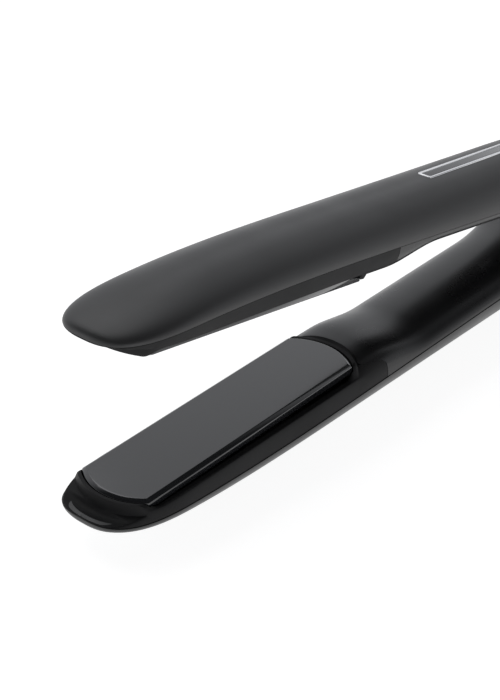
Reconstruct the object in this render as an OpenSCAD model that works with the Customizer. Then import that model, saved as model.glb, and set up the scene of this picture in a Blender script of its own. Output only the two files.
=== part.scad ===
// Flat iron (hair straightener), lying open on its lower arm.
// Each arm is drawn in its own arm frame: x runs from the hinge axis to the tip, y across,
// z from the closing plane (0) out to the shell (negative). The lower arm is tipped so the straight
// part of its shell crown lies on the table; the upper arm is the same layout, mirrored and opened.
// Row frame: millimetres, +X towards the tips, +Z up, origin at the middle of the rest land.

/* [Arms] */

// Hinge axis to the rear corners of the plates
handle_len = 146.5; // [140:0.5:180]
// Length of the nose beyond the plate
bill_len = 10.1; // [8:0.1:16]
// Width of the arm
arm_w = 33.4; // [28:0.1:44]
// Opening angle between the arms at the open stop
open_deg = 10.95; // [8:0.05:15]
// Wall of the outer shell
shell_wall = 1.8; // [1.2:0.1:2.6]
// Hinge axis to the rear face of the shell
rear_end = 20; // [18:0.5:26]
// Half width of the flat land along the crown of the shell
land_half = 4.05; // [3:0.05:5]

/* [Shell profile] */

// Depth of the crown below the closing plane, 75 mm from the hinge
crown_d = 22.96; // [18:0.01:28]
// Angle of the straight part of the crown against the closing plane
crown_tilt = 2.13; // [1:0.01:4]
// How far behind the plate the taper to the tip starts
taper_back = 6.9; // [0:0.1:30]
// Depth of the crown at the nose
crown_nose_d = 6.7; // [5:0.05:10]
// Depth of the seam along the handle
seam_d = 10.1; // [8:0.1:13]
// How far the seam rises towards the nose
seam_rise = 5.7; // [3:0.1:8]
// How far behind the plate the seam starts to rise
rise_back = 11.9; // [0:0.1:30]
// Depth of the seam beside the hinge
seam_rear_d = 3; // [2.6:0.1:6]
// Fullness of the shell section (2 is an ellipse)
sec_pow = 1.86; // [1.7:0.01:2.6]

/* [Plates] */

// Length of a plate between its corners
plate_len = 90; // [70:0.5:110]
// Width of the flat face of a plate
plate_w = 24; // [18:0.5:30]
// How far each plate end bows out
plate_bow = 4.5; // [2:0.1:8]
// Width of the bevel round a plate
bevel_w = 1.15; // [0.5:0.05:1.5]
// Depth of that bevel
bevel_d = 0.86; // [0.4:0.02:1.2]
// Thickness of a plate
plate_t = 3; // [2:0.1:4]
// How far a plate floats inward
plate_float = 0.6; // [0.3:0.1:1]
// Gap of each plate face to the closing plane
plate_gap = 0.05; // [0.03:0.01:0.2]
// Gap round a plate in its housing
pocket_gap = 0.45; // [0.3:0.05:0.8]

/* [Housing and cover] */

// Depth of the housing rim beside the tip end of the plate
rim_d = 2.9; // [2:0.1:5]
// How much deeper the rim lies beside the rear end
rim_fall = 1.5; // [0:0.1:2]
// Thickness of the end walls round the plate
end_wall = 1.8; // [1:0.1:3]
// Depth of the tip end wall's top edge
end_wall_d = 0.55; // [0.3:0.05:2]
// Depth of the rear end wall's top edge
rear_wall_d = 0.8; // [0.5:0.05:2]
// Depth of the handle cover's ridge
cover_d = 3.1; // [1.5:0.1:4]
// Wall of the handle cover
cover_wall = 1.8; // [1.2:0.1:2.6]
// Gap along the seams between shell, housing and cover
seam_gap = 0.2; // [0.1:0.05:0.4]
// Radius of the curved joint between housing and cover
joint_r = 22; // [18:0.5:30]
// How far behind the plate the front of that joint lies
joint_back = 7.5; // [5.5:0.1:18]

/* [Hinge] */

// Radius of the hinge knuckles
knuckle_r = 8; // [7:0.1:9]
// Radius of the hinge pin
pin_r = 2.5; // [2:0.05:3]
// Running clearance of the knuckle on the pin
pin_fit = 0.05; // [0.02:0.01:0.1]
// Half width of the upper arm's knuckle
knuckle_half = 8; // [6:0.1:9]
// Side gap between the knuckles
knuckle_gap = 0.3; // [0.2:0.05:0.5]
// How far the outer knuckle faces stand out past the arm
hub_proud = 0.3; // [0.1:0.05:1]
// Gap round the knuckles where they pass the shells
hub_gap = 0.4; // [0.3:0.05:0.8]

/* [Spring, buttons and trim] */

// Distance of the arm spring from the hinge axis
spring_s = 28; // [26:0.5:32]
// Mean radius of the arm spring
spring_r = 4; // [3:0.1:4.4]
// Radius of its wire
wire_r = 0.45; // [0.3:0.05:0.6]
// Radius of the spring cups
cup_r = 5.4; // [5:0.1:6]
// Radius of the power button
power_r = 3.4; // [2.5:0.1:4]
// Radius of the two temperature buttons
temp_r = 2.7; // [2:0.1:3.2]
// Gap round a button in the cover
button_gap = 0.15; // [0.1:0.05:0.3]
// Travel of a button
button_travel = 0.6; // [0.3:0.1:1]
// Width of the trim strip
trim_w = 5.4; // [4:0.1:7]
// Hinge axis to the front end of the trim strip
trim_front = 99.4; // [80:0.1:110]
// Length of the trim strip
trim_len = 60; // [40:0.5:70]
// Corner bevel of the trim strip
trim_corner = 0.6; // [0.2:0.1:1.5]

/* [Cord inlet] */

// Radius of the bore that takes the cord
cord_r = 3.3; // [2.5:0.05:3.8]
// Radius of the swivel sleeve where it turns in the shell
sleeve_r = 5; // [4.6:0.05:5.4]
// Turning clearance of the sleeve
sleeve_fit = 0.08; // [0.03:0.01:0.1]
// Depth of the cord inlet axis below the closing plane
inlet_d = 9.6; // [9:0.1:12]

/* [Part] */

// Sub-part to draw

/* [Hidden] */

$fn = 72;
EPS = 0.01;
half_arm = arm_w / 2;
plate_s = handle_len;
tip_s = plate_s + plate_len + plate_bow + bill_len;
taper_s = plate_s - taper_back;
rise_s = plate_s - rise_back;
joint_s = plate_s - joint_back;
fuller_s = plate_s - 26.5;
hub_half = half_arm + hub_proud;
nose_s = tip_s - 31;
nose_pow = 3;
rear_s = 6;
rear_pow = 4;
rear_len = (rear_end + rear_s) / 0.977;
crown_m = tan(crown_tilt);
blend_s = 30;
rear_crown = 0.0036;
land_frac = land_half / half_arm;

function clamp01(x) = min(1, max(0, x));
function ease(x) = let (u = clamp01(x)) u * u * (3 - 2 * u);
function lerp(a, b, t) = a + (b - a) * t;

// Plan half width of the shell
function half_w(s) =
    s > nose_s ? half_arm * pow(1 - pow((s - nose_s) / (tip_s - nose_s), nose_pow), 1 / nose_pow)
    : s < rear_s ? half_arm * pow(1 - pow((rear_s - s) / rear_len, rear_pow), 1 / rear_pow)
    : half_arm;
// Seam depth: low beside the hinge, deep along the handle, rising again to the nose
function seam(s) =
    seam_d - seam_rise * pow(clamp01((s - rise_s) / (tip_s - rise_s)), 2.65)
    - (seam_d - seam_rear_d) * (1 - ease((s - 14) / 36));
// Straight crown line and the real crown
function crown_line(s) = crown_d - crown_m * (s - 75);
function crown(s) =
    s > taper_s ? crown_line(s)
        - (crown_line(tip_s) - crown_nose_d) * pow((s - taper_s) / (tip_s - taper_s), 3.68)
    : s < blend_s ? crown_line(s) - rear_crown * (blend_s - s) * (blend_s - s)
    : crown_line(s);
function power(s) = sec_pow + 0.45 * pow(clamp01((s - fuller_s) / (tip_s - fuller_s)), 3);

// Shell section: half curve from the seam to the edge of the crown land
HALF = 8;
function land_angle(n) = acos(pow(land_frac, n / 2));
function sec_half(w, top, deep, n) =
    let (a = land_angle(n), full = (deep - top) / pow(sin(a), 2 / n))
    [for (j = [0 : HALF]) let (t = a * j / HALF)
        [w * pow(cos(t), 2 / n), -top - full * pow(sin(t), 2 / n)]];
function both(half) = concat(half, [for (j = [len(half) - 1 : -1 : 0]) [-half[j][0], half[j][1]]]);
function ring(s, pts) = [for (p = pts) [s, p[0], p[1]]];

// Stations along the shell
mid_n = 7;
nose_n = 15;
stations = concat(
    [-rear_end, -rear_end + 1.6, -rear_end + 4.6, -rear_end + 9, -5, 2, 9, 14, 17, 20, 24, 28, 33, 40, 50],
    [for (i = [1 : mid_n - 1]) lerp(50, taper_s, i / mid_n)],
    [for (i = [0 : nose_n - 1]) lerp(taper_s, tip_s - 0.25, 1 - pow(1 - i / (nose_n - 1), 1.7))]
);

// Closed skin between an outer and an inner surface, each a list of rings
function grid_faces(base, rows, cols, flip) =
    [for (i = [0 : rows - 2], j = [0 : cols - 2], k = [0, 1])
        let (a = base + i * cols + j, b = a + 1, c = a + cols, d = c + 1)
        k == 0 ? (flip ? [a, b, c] : [a, c, b]) : (flip ? [b, d, c] : [b, c, d])];

// Faces turned over, so that they run clockwise seen from outside
function turned(faces) = [for (f = faces) [for (k = [len(f) - 1 : -1 : 0]) f[k]]];

// Solid between matching outer and inner rings; caps join the outer to the inner ring at each end
module skin(outer, inner) {
    rows = len(outer);
    cols = len(outer[0]);
    off = rows * cols;
    rim = [for (i = [0 : rows - 2], j = [0, cols - 1])
        let (a = i * cols + j, c = a + cols)
        each (j == 0 ? [[a, a + off, c], [a + off, c + off, c]] : [[a, c, a + off], [c, c + off, a + off]])];
    caps = [for (i = [0, rows - 1], j = [0 : cols - 2])
        let (a = i * cols + j, b = a + 1)
        each (i == 0 ? [[a, b, a + off], [b, b + off, a + off]] : [[a, a + off, b], [b, a + off, b + off]])];
    polyhedron(
        points = [for (r = outer) each r, for (r = inner) each r],
        faces = concat(grid_faces(0, rows, cols, false), grid_faces(off, rows, cols, true), rim, caps)
    );
}

// Boat-shaped shell: outer and inner surface, a rim between them, and both ends closed
module boat(outer, inner) {
    rows = len(outer);
    cols = len(outer[0]);
    off = rows * cols;
    m = cols - 1;
    e = (rows - 1) * cols;
    rim = [for (i = [0 : rows - 2], j = [0, m])
        let (a = i * cols + j, c = a + cols)
        each (j == 0 ? [[a, a + off, c], [a + off, c + off, c]] : [[a, c, a + off], [c, c + off, a + off]])];
    ends = [
        [0, m, off], [m, off + m, off],
        [e, e + off, e + m], [e + m, e + off, e + off + m]
    ];
    caps = [for (j = [0 : floor(cols / 2) - 2])
        let (p = j, q = j + 1, r = m - j, t = m - j - 1)
        each [
            [p, q, r], [q, t, r],
            [e + p, e + r, e + q], [e + q, e + r, e + t],
            [off + p, off + r, off + q], [off + q, off + r, off + t],
            [off + e + p, off + e + q, off + e + r], [off + e + q, off + e + t, off + e + r]
        ]];
    polyhedron(
        points = [for (r = outer) each r, for (r = inner) each r],
        faces = turned(concat(grid_faces(0, rows, cols, false), grid_faces(off, rows, cols, true), rim, ends, caps))
    );
}

mid_s = 100;
function inner_s(s) =
    s > mid_s ? mid_s + (s - mid_s) * (tip_s - 2.3 - mid_s) / (tip_s - 0.25 - mid_s)
    : mid_s - (mid_s - s) * (mid_s + rear_end - 2) / (mid_s + rear_end);

module shell_body() {
    outer = [for (s = stations) ring(s, both(sec_half(half_w(s), seam(s), crown(s), power(s))))];
    inner = [for (s = stations) ring(inner_s(s),
        both(sec_half(half_w(s) - shell_wall, seam(s), crown(s) - shell_wall, power(s))))];
    boat(outer, inner);
}

// Placing
hinge_z = crown_line(0) * cos(crown_tilt);
hinge_x = -(mid_s * cos(crown_tilt) - crown_line(mid_s) * sin(crown_tilt));
module in_lower() {
    translate([hinge_x, 0, hinge_z])
        rotate([0, crown_tilt, 0])
            children();
}
module in_upper() {
    translate([hinge_x, 0, hinge_z])
        rotate([0, crown_tilt - open_deg, 0])
            mirror([0, 0, 1])
                children();
}
// On the crown line, z pointing out of the shell is negative
module on_crown(s) {
    translate([s, 0, -crown_line(s)])
        rotate([0, -crown_tilt, 0])
            children();
}
module across(s, z, r, y0, y1) {
    translate([s, y1, z])
        rotate([90, 0, 0])
            cylinder(r = r, h = y1 - y0);
}
module along(s0, s1, y, z, r) {
    translate([s0, y, z])
        rotate([0, 90, 0])
            cylinder(r = r, h = s1 - s0);
}
module post(s, y, z0, z1, r) {
    translate([s, y, z0])
        cylinder(r = r, h = z1 - z0);
}
module slab(s0, s1, y0, y1, z0, z1) {
    translate([s0, y0, z0])
        cube([s1 - s0, y1 - y0, z1 - z0]);
}

// Plate outline
plate_half = plate_w / 2;
bow_r = (plate_half * plate_half + plate_bow * plate_bow) / (2 * plate_bow);
tip_c = plate_s + plate_len + plate_bow - bow_r;
rear_c = plate_s - plate_bow + bow_r;
pocket_r = bow_r + bevel_w + pocket_gap;
pocket_half = plate_half + bevel_w + pocket_gap;
module plate_outline(half, r, z0, z1) {
    intersection() {
        slab(rear_c - 2 * r, tip_c + 2 * r, -half, half, z0, z1);
        union() {
            slab(rear_c, tip_c, -half - 1, half + 1, z0 - 1, z1 + 1);
            post(rear_c, 0, z0 - 1, z1 + 1, r);
            post(tip_c, 0, z0 - 1, z1 + 1, r);
        }
    }
}

// Section of the inner side of the arm: dome along the handle, flat rim along the plate
TOP = 9;
dome_pow = 1.9;
rim_y = 15.7 / 16.7;
function rim_top(s) =
    lerp(rim_d + rim_fall * clamp01((plate_s + plate_len - s) / plate_len),
        seam(tip_s) - 0.1, ease((s - tip_c - 8) / (tip_s - tip_c - 8)));
function ridge(s) = lerp(cover_d, 0.2, ease((s - joint_s + 31) / 26));
function fullness(s) = lerp(dome_pow, 2.8, ease((s - joint_s + 31) / 26));
function dome_half(s) =
    let (w = half_w(s) - seam_gap, base = seam(s) - seam_gap, lift = base - ridge(s))
    [for (j = [0 : TOP]) let (t = 90 * j / TOP)
        [w * pow(cos(t), 2 / fullness(s)), -base + lift * pow(sin(t), 2 / fullness(s))]];
function rim_half(s) =
    let (w = half_w(s) - seam_gap, base = seam(s) - seam_gap, y = w * rim_y, top = min(base - 0.15, rim_top(s)),
        scoop = 1.9 * sin(180 * clamp01((s - tip_c - 21.5) / (tip_s - tip_c - 21.5))))
    [[w, -base], [lerp(w, y, 0.35), -lerp(base, top, 0.5)], [lerp(w, y, 0.8), -lerp(base, top, 0.88)],
        [y - 0.15, -top], for (j = [4 : TOP]) let (f = (TOP - j) / (TOP - 3))
        [(y - 0.15) * f, -top - scoop * (1 - f * f)]];
function inside_half(s) =
    let (b = ease((s - joint_s + 7) / 13), d = dome_half(s), r = rim_half(s))
    [for (j = [0 : TOP]) [lerp(d[j][0], r[j][0], b), lerp(d[j][1], r[j][1], b)]];

// Underside of the housing, kept clear of the inside of the shell
floor_d = 9;
function under_half(s) =
    let (w = half_w(s) - shell_wall - 0.4, n = power(s), top = seam(s),
        deep = max(top + 0.4, crown(s) - shell_wall - 0.4), a = land_angle(n),
        full = (deep - top) / pow(sin(a), 2 / n))
    [for (j = [0 : TOP]) let (t = 90 * j / TOP)
        j == 0 ? [w, -top + seam_gap / 2]
        : [w * pow(cos(t), 2 / n), -min(floor_d, top + min(deep - top, full * pow(sin(t), 2 / n)))]];
function cover_under(s) =
    let (h = inside_half(s), k = (half_w(s) - seam_gap - cover_wall) / (half_w(s) - seam_gap))
    [for (j = [0 : TOP]) [h[j][0] * k, h[j][1] - cover_wall * sin(90 * j / TOP)]];
function closed(half) = concat(half, [for (j = [len(half) - 2 : -1 : 0]) [-half[j][0], half[j][1]]]);

housing_st = concat([for (d = [-13, -10, -7, -4.5, -2, 0.5, 3, 6, 11, 21]) joint_s + d],
    [for (i = [1 : 5]) lerp(joint_s + 21, tip_c, i / 5)],
    [for (i = [1 : 10]) lerp(tip_c, tip_s - 0.6, 1 - pow(1 - i / 10, 1.8))]);
cover_st = concat([11, 14, 17, 20, 24, 28, 33, 40, 50],
    [for (i = [1 : 2]) lerp(50, joint_s - 34, i / 3)],
    [for (d = [-34, -27, -21, -15, -10, -7, -4.5, -2, 0.5, 3]) joint_s + d]);

module housing_blank() {
    skin([for (s = housing_st) ring(s, closed(inside_half(s)))],
        [for (s = housing_st) ring(s, closed(under_half(s)))]);
}
module cover_blank() {
    skin([for (s = cover_st) ring(s, closed(inside_half(s)))],
        [for (s = cover_st) ring(s, closed(cover_under(s)))]);
}

screw_s = [plate_s + 8.5, plate_s + plate_len - 12];
deep_floor = 7.2;
deep_half = 10.5;
// Crescent wall round one end of the plate; its two ends roll down into the rim
module crescent(c, side, top) {
    yo = rim_y * half_arm - 0.1;
    intersection() {
        translate([c - 45, 0, 0])
            rotate([90, 0, 90])
                linear_extrude(height = 90)
                    polygon([
                        [-yo, -20], [-yo, -top - 2.3], [-yo + 0.8, -top - 1.4], [-yo + 2.2, -top - 0.6],
                        [-yo + 4.5, -top - 0.1], [-yo + 7, -top], [yo - 7, -top], [yo - 4.5, -top - 0.1],
                        [yo - 2.2, -top - 0.6], [yo - 0.8, -top - 1.4], [yo, -top - 2.3], [yo, -20]
                    ]);
        difference() {
            post(c, 0, -floor_d + 2, -top, pocket_r + end_wall);
            post(c, 0, -floor_d, 1, pocket_r);
        }
        slab(side > 0 ? c + 9 : c - 40, side > 0 ? c + 40 : c - 9, -rim_y * half_arm, rim_y * half_arm, -20, 5);
    }
}
module plate_housing() {
    difference() {
        union() {
            housing_blank();
            crescent(tip_c, 1, end_wall_d);
            crescent(rear_c, -1, rear_wall_d);
        }
        plate_outline(pocket_half, pocket_r, -plate_t - plate_float - 1.1, 5);
        slab(rear_c - 11, tip_c + 11, -deep_half, deep_half, -deep_floor, 0);
        for (s = screw_s) {
            post(s, 0, -12, 0, 1.5);
        }
        post(joint_s - joint_r, 0, -20, 5, joint_r + seam_gap / 2);
        slab(joint_s - 60, joint_s - joint_r, -half_arm - 5, half_arm + 5, -20, 5);
        // Way for the heater leads, low in the rear of the housing
        along(plate_s - 26, rear_c, 4, -7.4, 1.5);
        along(plate_s - 26, rear_c, -4, -7.4, 1.5);
    }
}

// Handle cover
power_s = 46;
temp_s = [57, 65];
cover_screw_s = 20;
cover_screw_y = 8;
module cover_body() {
    intersection() {
        cover_blank();
        union() {
            post(joint_s - joint_r, 0, -20, 5, joint_r - seam_gap / 2);
            slab(0, joint_s - joint_r, -half_arm - 5, half_arm + 5, -20, 5);
        }
    }
}
cup_floor = 7.2;
module handle_cover(buttons) {
    difference() {
        union() {
            cover_body();
            post(spring_s, 0, -cup_floor - 1.2, -cover_d - 0.6, cup_r + 1.3);
            for (y = [-1, 1]) {
                post(cover_screw_s, y * cover_screw_y, -6.4, -cover_d - 1.6, 3.4);
            }
            if (buttons) {
                for (y = [-1, 1], s = [51.5, 72]) {
                    post(s, y * 7.5, -board_top, -cover_d - 1.2, 1.7);
                }
            }
        }
        post(spring_s, 0, -cup_floor, 5, cup_r);
        for (y = [-1, 1]) {
            post(cover_screw_s, y * cover_screw_y, -8, 5, 1.5);
            post(cover_screw_s, y * cover_screw_y, -4.6, 5, 2.6);
        }
        if (buttons) {
            post(power_s, 0, -8, 5, power_r + button_gap);
            for (s = temp_s) {
                post(s, 0, -8, 5, temp_r + button_gap);
            }
        }
    }
}

screw_post_top = 6.6;
// Openings every shell has: notches for the hinge knuckles
module hub_notches() {
    for (y = [-1, 1]) {
        across(0, 0, knuckle_r + hub_gap, y > 0 ? 8 : -hub_half - 1, y > 0 ? hub_half + 1 : -8);
    }
}

board_top = cover_d + 5.7;
board_z = 12.4;
board_s = [joint_s - 65, joint_s - 15];
board_screw_s = [board_s[0] + 6, board_s[1] - 6];
board_y = 12.5;
module lower_shell() {
    color([0.12, 0.12, 0.13])
        in_lower() {
            difference() {
                union() {
                    shell_body();
                    for (y = [-1, 1]) {
                        post(cover_screw_s, y * cover_screw_y, -18.4, -screw_post_top, 2.8);
                    }
                    for (s = board_screw_s, y = [-1, 1]) {
                        post(s, y * 8, -18.6, -board_z - 1.6, 2.4);
                    }
                }
                hub_notches();
                for (y = [-1, 1]) {
                    post(cover_screw_s, y * cover_screw_y, -14, 0, 1.1);
                }
                for (s = board_screw_s, y = [-1, 1]) {
                    post(s, y * 8, -17.5, 0, 0.9);
                }
                along(-rear_end - 5, -rear_end + 6, 0, -inlet_d, sleeve_r + sleeve_fit);
            }
        }
}
module upper_shell() {
    color([0.12, 0.12, 0.13])
        in_upper() {
            difference() {
                union() {
                    shell_body();
                    for (y = [-1, 1]) {
                        post(cover_screw_s, y * cover_screw_y, -18.4, -screw_post_top, 2.8);
                    }
                }
                hub_notches();
                for (y = [-1, 1]) {
                    post(cover_screw_s, y * cover_screw_y, -14, 0, 1.1);
                }
                // Recess and light slot of the trim strip
                on_crown(trim_front)
                    slab(-trim_len - 0.1, 0.1, -trim_w / 2 - 0.1, trim_w / 2 + 0.1, -2, 0.9);
                on_crown(trim_front)
                    along_slot(-38, -22, 1);
            }
        }
}
module along_slot(s0, s1, r) {
    slab(s0, s1, -r, r, -1, 4);
    post(s0, 0, -1, 4, r);
    post(s1, 0, -1, 4, r);
}

module lower_plate_housing() {
    color([0.07, 0.07, 0.08])
        in_lower()
            plate_housing();
}
module upper_plate_housing() {
    color([0.07, 0.07, 0.08])
        in_upper()
            plate_housing();
}
module lower_handle_cover() {
    color([0.05, 0.05, 0.06])
        in_lower()
            handle_cover(false);
}
module upper_handle_cover() {
    color([0.05, 0.05, 0.06])
        in_upper()
            handle_cover(true);
}

// Heated plate with heater rails and two screw bosses
rib_in = 5.3;
module heat_plate() {
    difference() {
        union() {
            intersection() {
                translate([0, 0, -plate_gap])
                    rotate([90, 0, 90])
                        linear_extrude(height = tip_s)
                            polygon([
                                [-plate_half, 0], [plate_half, 0],
                                [plate_half + bevel_w, -bevel_d], [plate_half + bevel_w, -plate_t],
                                [-plate_half - bevel_w, -plate_t], [-plate_half - bevel_w, -bevel_d]
                            ]);
                translate([0, 0, -plate_gap])
                    union() {
                        slab(rear_c, tip_c, -40, 40, -plate_t - 1, 1);
                        for (c = [rear_c, tip_c]) {
                            post(c, 0, -plate_t - 1, -bevel_d, bow_r + bevel_w);
                            translate([c, 0, -bevel_d])
                                cylinder(r1 = bow_r + bevel_w, r2 = bow_r, h = bevel_d);
                        }
                    }
            }
            for (y = [-1, 1]) {
                slab(plate_s + 16, plate_s + plate_len - 13, y > 0 ? rib_in : -rib_in - 1,
                    y > 0 ? rib_in + 1 : -rib_in, -plate_t - 2, -plate_t + 0.4);
            }
            for (s = screw_s) {
                post(s, 0, -plate_t - 3.1, -plate_t + 0.4, 2.7);
            }
        }
        for (s = screw_s) {
            post(s, 0, -plate_t - 5, -plate_t + 0.8, 1.25);
        }
    }
}
heat_z = plate_gap + plate_t;
module heater() {
    slab(plate_s + 19, plate_s + plate_len - 16, -5.1, 5.1, -heat_z - 1.35, -heat_z - 0.03);
    for (y = [-1, 1]) {
        along(plate_s + 12, plate_s + 19.5, y * 3, -heat_z - 0.75, 0.5);
    }
}
module heater_clip() {
    difference() {
        slab(plate_s + 26, plate_s + plate_len - 23, -6.85, 6.85, -heat_z - 2.5, -heat_z - 0.4);
        slab(plate_s + 20, plate_s + plate_len - 15, -6.4, 6.4, -heat_z - 2.1, 0);
    }
    for (s = [plate_s + 34, plate_s + plate_len - 31]) {
        post(s, 0, -heat_z - 2.3, -heat_z - 1.4, 1.6);
    }
}
module heat_sensor() {
    along(plate_s + 42, plate_s + 50, 9.2, -heat_z - 1.05, 1);
    along(plate_s + 38, plate_s + 50, -9.2, -heat_z - 1.3, 1.25);
}
module plate_screws() {
    for (s = screw_s) {
        post(s, 0, -floor_d - 0.15, -plate_t - 0.9, 1.2);
        difference() {
            post(s, 0, -floor_d - 0.85, -floor_d - 0.15 + EPS, 2.5);
            slab(s - 1.6, s + 1.6, -0.3, 0.3, -floor_d - 2, -floor_d - 0.5);
        }
    }
}
module cushions() {
    for (s = [plate_s + 6.5, plate_s + plate_len - 6.5], y = [-1, 1]) {
        difference() {
            post(s, y * 7.2, -deep_floor + 0.02, -heat_z - 0.02, 3);
            post(s, y * 7.2, -deep_floor - 1, 0, 1.2);
        }
    }
}
module lower_plate() {
    color([0.33, 0.33, 0.35])
        in_lower()
            heat_plate();
}
module upper_plate() {
    color([0.33, 0.33, 0.35])
        in_upper()
            heat_plate();
}
module lower_heater() {
    color([0.9, 0.88, 0.84])
        in_lower()
            heater();
}
module upper_heater() {
    color([0.9, 0.88, 0.84])
        in_upper()
            heater();
}
module lower_heater_clip() {
    color([0.7, 0.7, 0.72])
        in_lower()
            heater_clip();
}
module upper_heater_clip() {
    color([0.7, 0.7, 0.72])
        in_upper()
            heater_clip();
}
module lower_heat_sensors() {
    color([0.75, 0.72, 0.6])
        in_lower()
            heat_sensor();
}
module upper_heat_sensors() {
    color([0.75, 0.72, 0.6])
        in_upper()
            heat_sensor();
}
module lower_plate_screws() {
    color([0.6, 0.6, 0.62])
        in_lower()
            plate_screws();
}
module upper_plate_screws() {
    color([0.6, 0.6, 0.62])
        in_upper()
            plate_screws();
}
module lower_cushions() {
    color([0.75, 0.3, 0.25])
        in_lower()
            cushions();
}
module upper_cushions() {
    color([0.75, 0.3, 0.25])
        in_upper()
            cushions();
}

// Hinge
frame_d = 14;
function foot_d(s) = crown(s - 4.6) - shell_wall - 0.15;
module lower_hinge_frame() {
    color([0.2, 0.2, 0.21])
        in_lower()
            difference() {
                union() {
                    for (y = [-1, 1]) {
                        y0 = y > 0 ? knuckle_half + knuckle_gap : -hub_half;
                        y1 = y > 0 ? hub_half : -knuckle_half - knuckle_gap;
                        b0 = y > 0 ? knuckle_half + knuckle_gap : -10.4;
                        b1 = y > 0 ? 10.4 : -knuckle_half - knuckle_gap;
                        across(0, 0, knuckle_r, y0, y1);
                        slab(-6.5, 6.5, b0, b1, -frame_d, -2);
                    }
                    slab(-6.5, 6.5, -10.4, 10.4, -frame_d, -frame_d + 2.4);
                    for (s = [-3.5, 3.5]) {
                        post(s, 0, -foot_d(s), -frame_d + 1, 2.6);
                    }
                }
                across(0, 0, pin_r + 0.01, -hub_half - 1, hub_half + 1);
                for (y = [-1, 1]) {
                    across(0, 0, 6.6, y > 0 ? hub_half - 1.2 : -hub_half - 1, y > 0 ? hub_half + 1 : -hub_half + 1.2);
                }
            }
}
module upper_hinge_frame() {
    color([0.2, 0.2, 0.21])
        in_upper()
            difference() {
                union() {
                    across(0, 0, knuckle_r, -knuckle_half, knuckle_half);
                    slab(-6.5, 6.5, -knuckle_half, knuckle_half, -frame_d, -2);
                    slab(-6.5, 6.5, -10.4, 10.4, -frame_d, -frame_d + 2.4);
                    for (s = [-3.5, 3.5]) {
                        post(s, 0, -foot_d(s), -frame_d + 1, 2.6);
                    }
                }
                across(0, 0, pin_r + pin_fit, -hub_half, hub_half);
            }
}
module hinge_pin() {
    color([0.75, 0.75, 0.78])
        in_lower()
            across(0, 0, pin_r, -hub_half + 1.4, hub_half - 1.4);
}
module hinge_cap(side) {
    y0 = side > 0 ? hub_half - 1.15 : -hub_half - 0.35;
    y1 = side > 0 ? hub_half + 0.35 : -hub_half + 1.15;
    difference() {
        across(0, 0, 6.5, y0, y1);
        across(0, 0, 5.2, side > 0 ? hub_half + 0.1 : -hub_half - 1, side > 0 ? hub_half + 1 : -hub_half - 0.1);
    }
}
module hinge_cap_left() {
    color([0.65, 0.65, 0.68])
        in_lower()
            hinge_cap(1);
}
module hinge_cap_right() {
    color([0.65, 0.65, 0.68])
        in_lower()
            hinge_cap(-1);
}

// Arm spring: a coil between the two spring cups
turns = 6;
STEPS = 14;
SIDES = 6;
half_open = open_deg / 2;
spring_len = 2 * (spring_s * sin(half_open) + cup_floor * cos(half_open)) - 0.3;
function coil(i) =
    let (a = 360 * i / STEPS, z = wire_r + (spring_len - 2 * wire_r) * i / (turns * STEPS))
    [for (k = [0 : SIDES - 1]) let (b = 360 * k / SIDES)
        [(spring_r + wire_r * cos(b)) * cos(a), (spring_r + wire_r * cos(b)) * sin(a), z + wire_r * sin(b)]];
module arm_spring() {
    n = turns * STEPS;
    color([0.7, 0.7, 0.73])
        in_lower()
            translate([spring_s, 0, -cup_floor])
                rotate([0, -half_open, 0])
                    translate([0, 0, 0.15])
                        polyhedron(
                            points = [for (i = [0 : n]) each coil(i)],
                            faces = concat(
                                [for (i = [0 : n - 1], k = [0 : SIDES - 1])
                                    let (a = i * SIDES + k, b = i * SIDES + (k + 1) % SIDES)
                                    each [[a, a + SIDES, b], [b, a + SIDES, b + SIDES]]],
                                [[for (k = [0 : SIDES - 1]) k]],
                                [[for (k = [SIDES - 1 : -1 : 0]) n * SIDES + k]]
                            )
                        );
}

// Buttons and boards
flange_top = cover_d + cover_wall + 0.35;
module button(s, r, proud) {
    post(s, 0, -flange_top, -cover_d + proud, r);
    post(s, 0, -flange_top - 0.9, -flange_top + EPS, r + 1);
    post(s, 0, -board_top + 1.9 + button_travel, -flange_top - 0.9 + EPS, 1.2);
}
module power_button() {
    color([0.8, 0.8, 0.82])
        in_upper()
            button(power_s, power_r, 0.35);
}
module temp_up_button() {
    color([0.16, 0.16, 0.17])
        in_upper()
            button(temp_s[1], temp_r, 0.3);
}
module temp_down_button() {
    color([0.16, 0.16, 0.17])
        in_upper()
            button(temp_s[0], temp_r, 0.3);
}
module control_board() {
    color([0.05, 0.3, 0.15])
        in_upper()
            difference() {
                slab(37, 78, -10, 10, -board_top - 1, -board_top - 0.05);
                for (y = [-1, 1], s = [51.5, 72]) {
                    post(s, y * 7.5, -12, 0, 0.8);
                }
            }
}
module tact_switches() {
    color([0.25, 0.25, 0.27])
        in_upper()
            for (s = [power_s, temp_s[0], temp_s[1]]) {
                slab(s - 3, s + 3, -3, 3, -board_top, -board_top + 1.1);
                post(s, 0, -board_top + 1, -board_top + 1.75, 1.1);
            }
}
module power_board() {
    color([0.05, 0.28, 0.14])
        in_lower()
            difference() {
                slab(board_s[0], board_s[1], -board_y, board_y, -board_z - 1.55, -board_z);
                for (s = board_screw_s, y = [-1, 1]) {
                    post(s, y * 8, -20, 0, 1.2);
                }
            }
}
module board_screws() {
    color([0.7, 0.7, 0.72])
        in_lower()
            for (s = board_screw_s, y = [-1, 1]) {
                post(s, y * 8, -16.5, -board_z + 0.05, 0.85);
                post(s, y * 8, -board_z + 0.05 - EPS, -board_z + 1, 1.9);
            }
}
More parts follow.
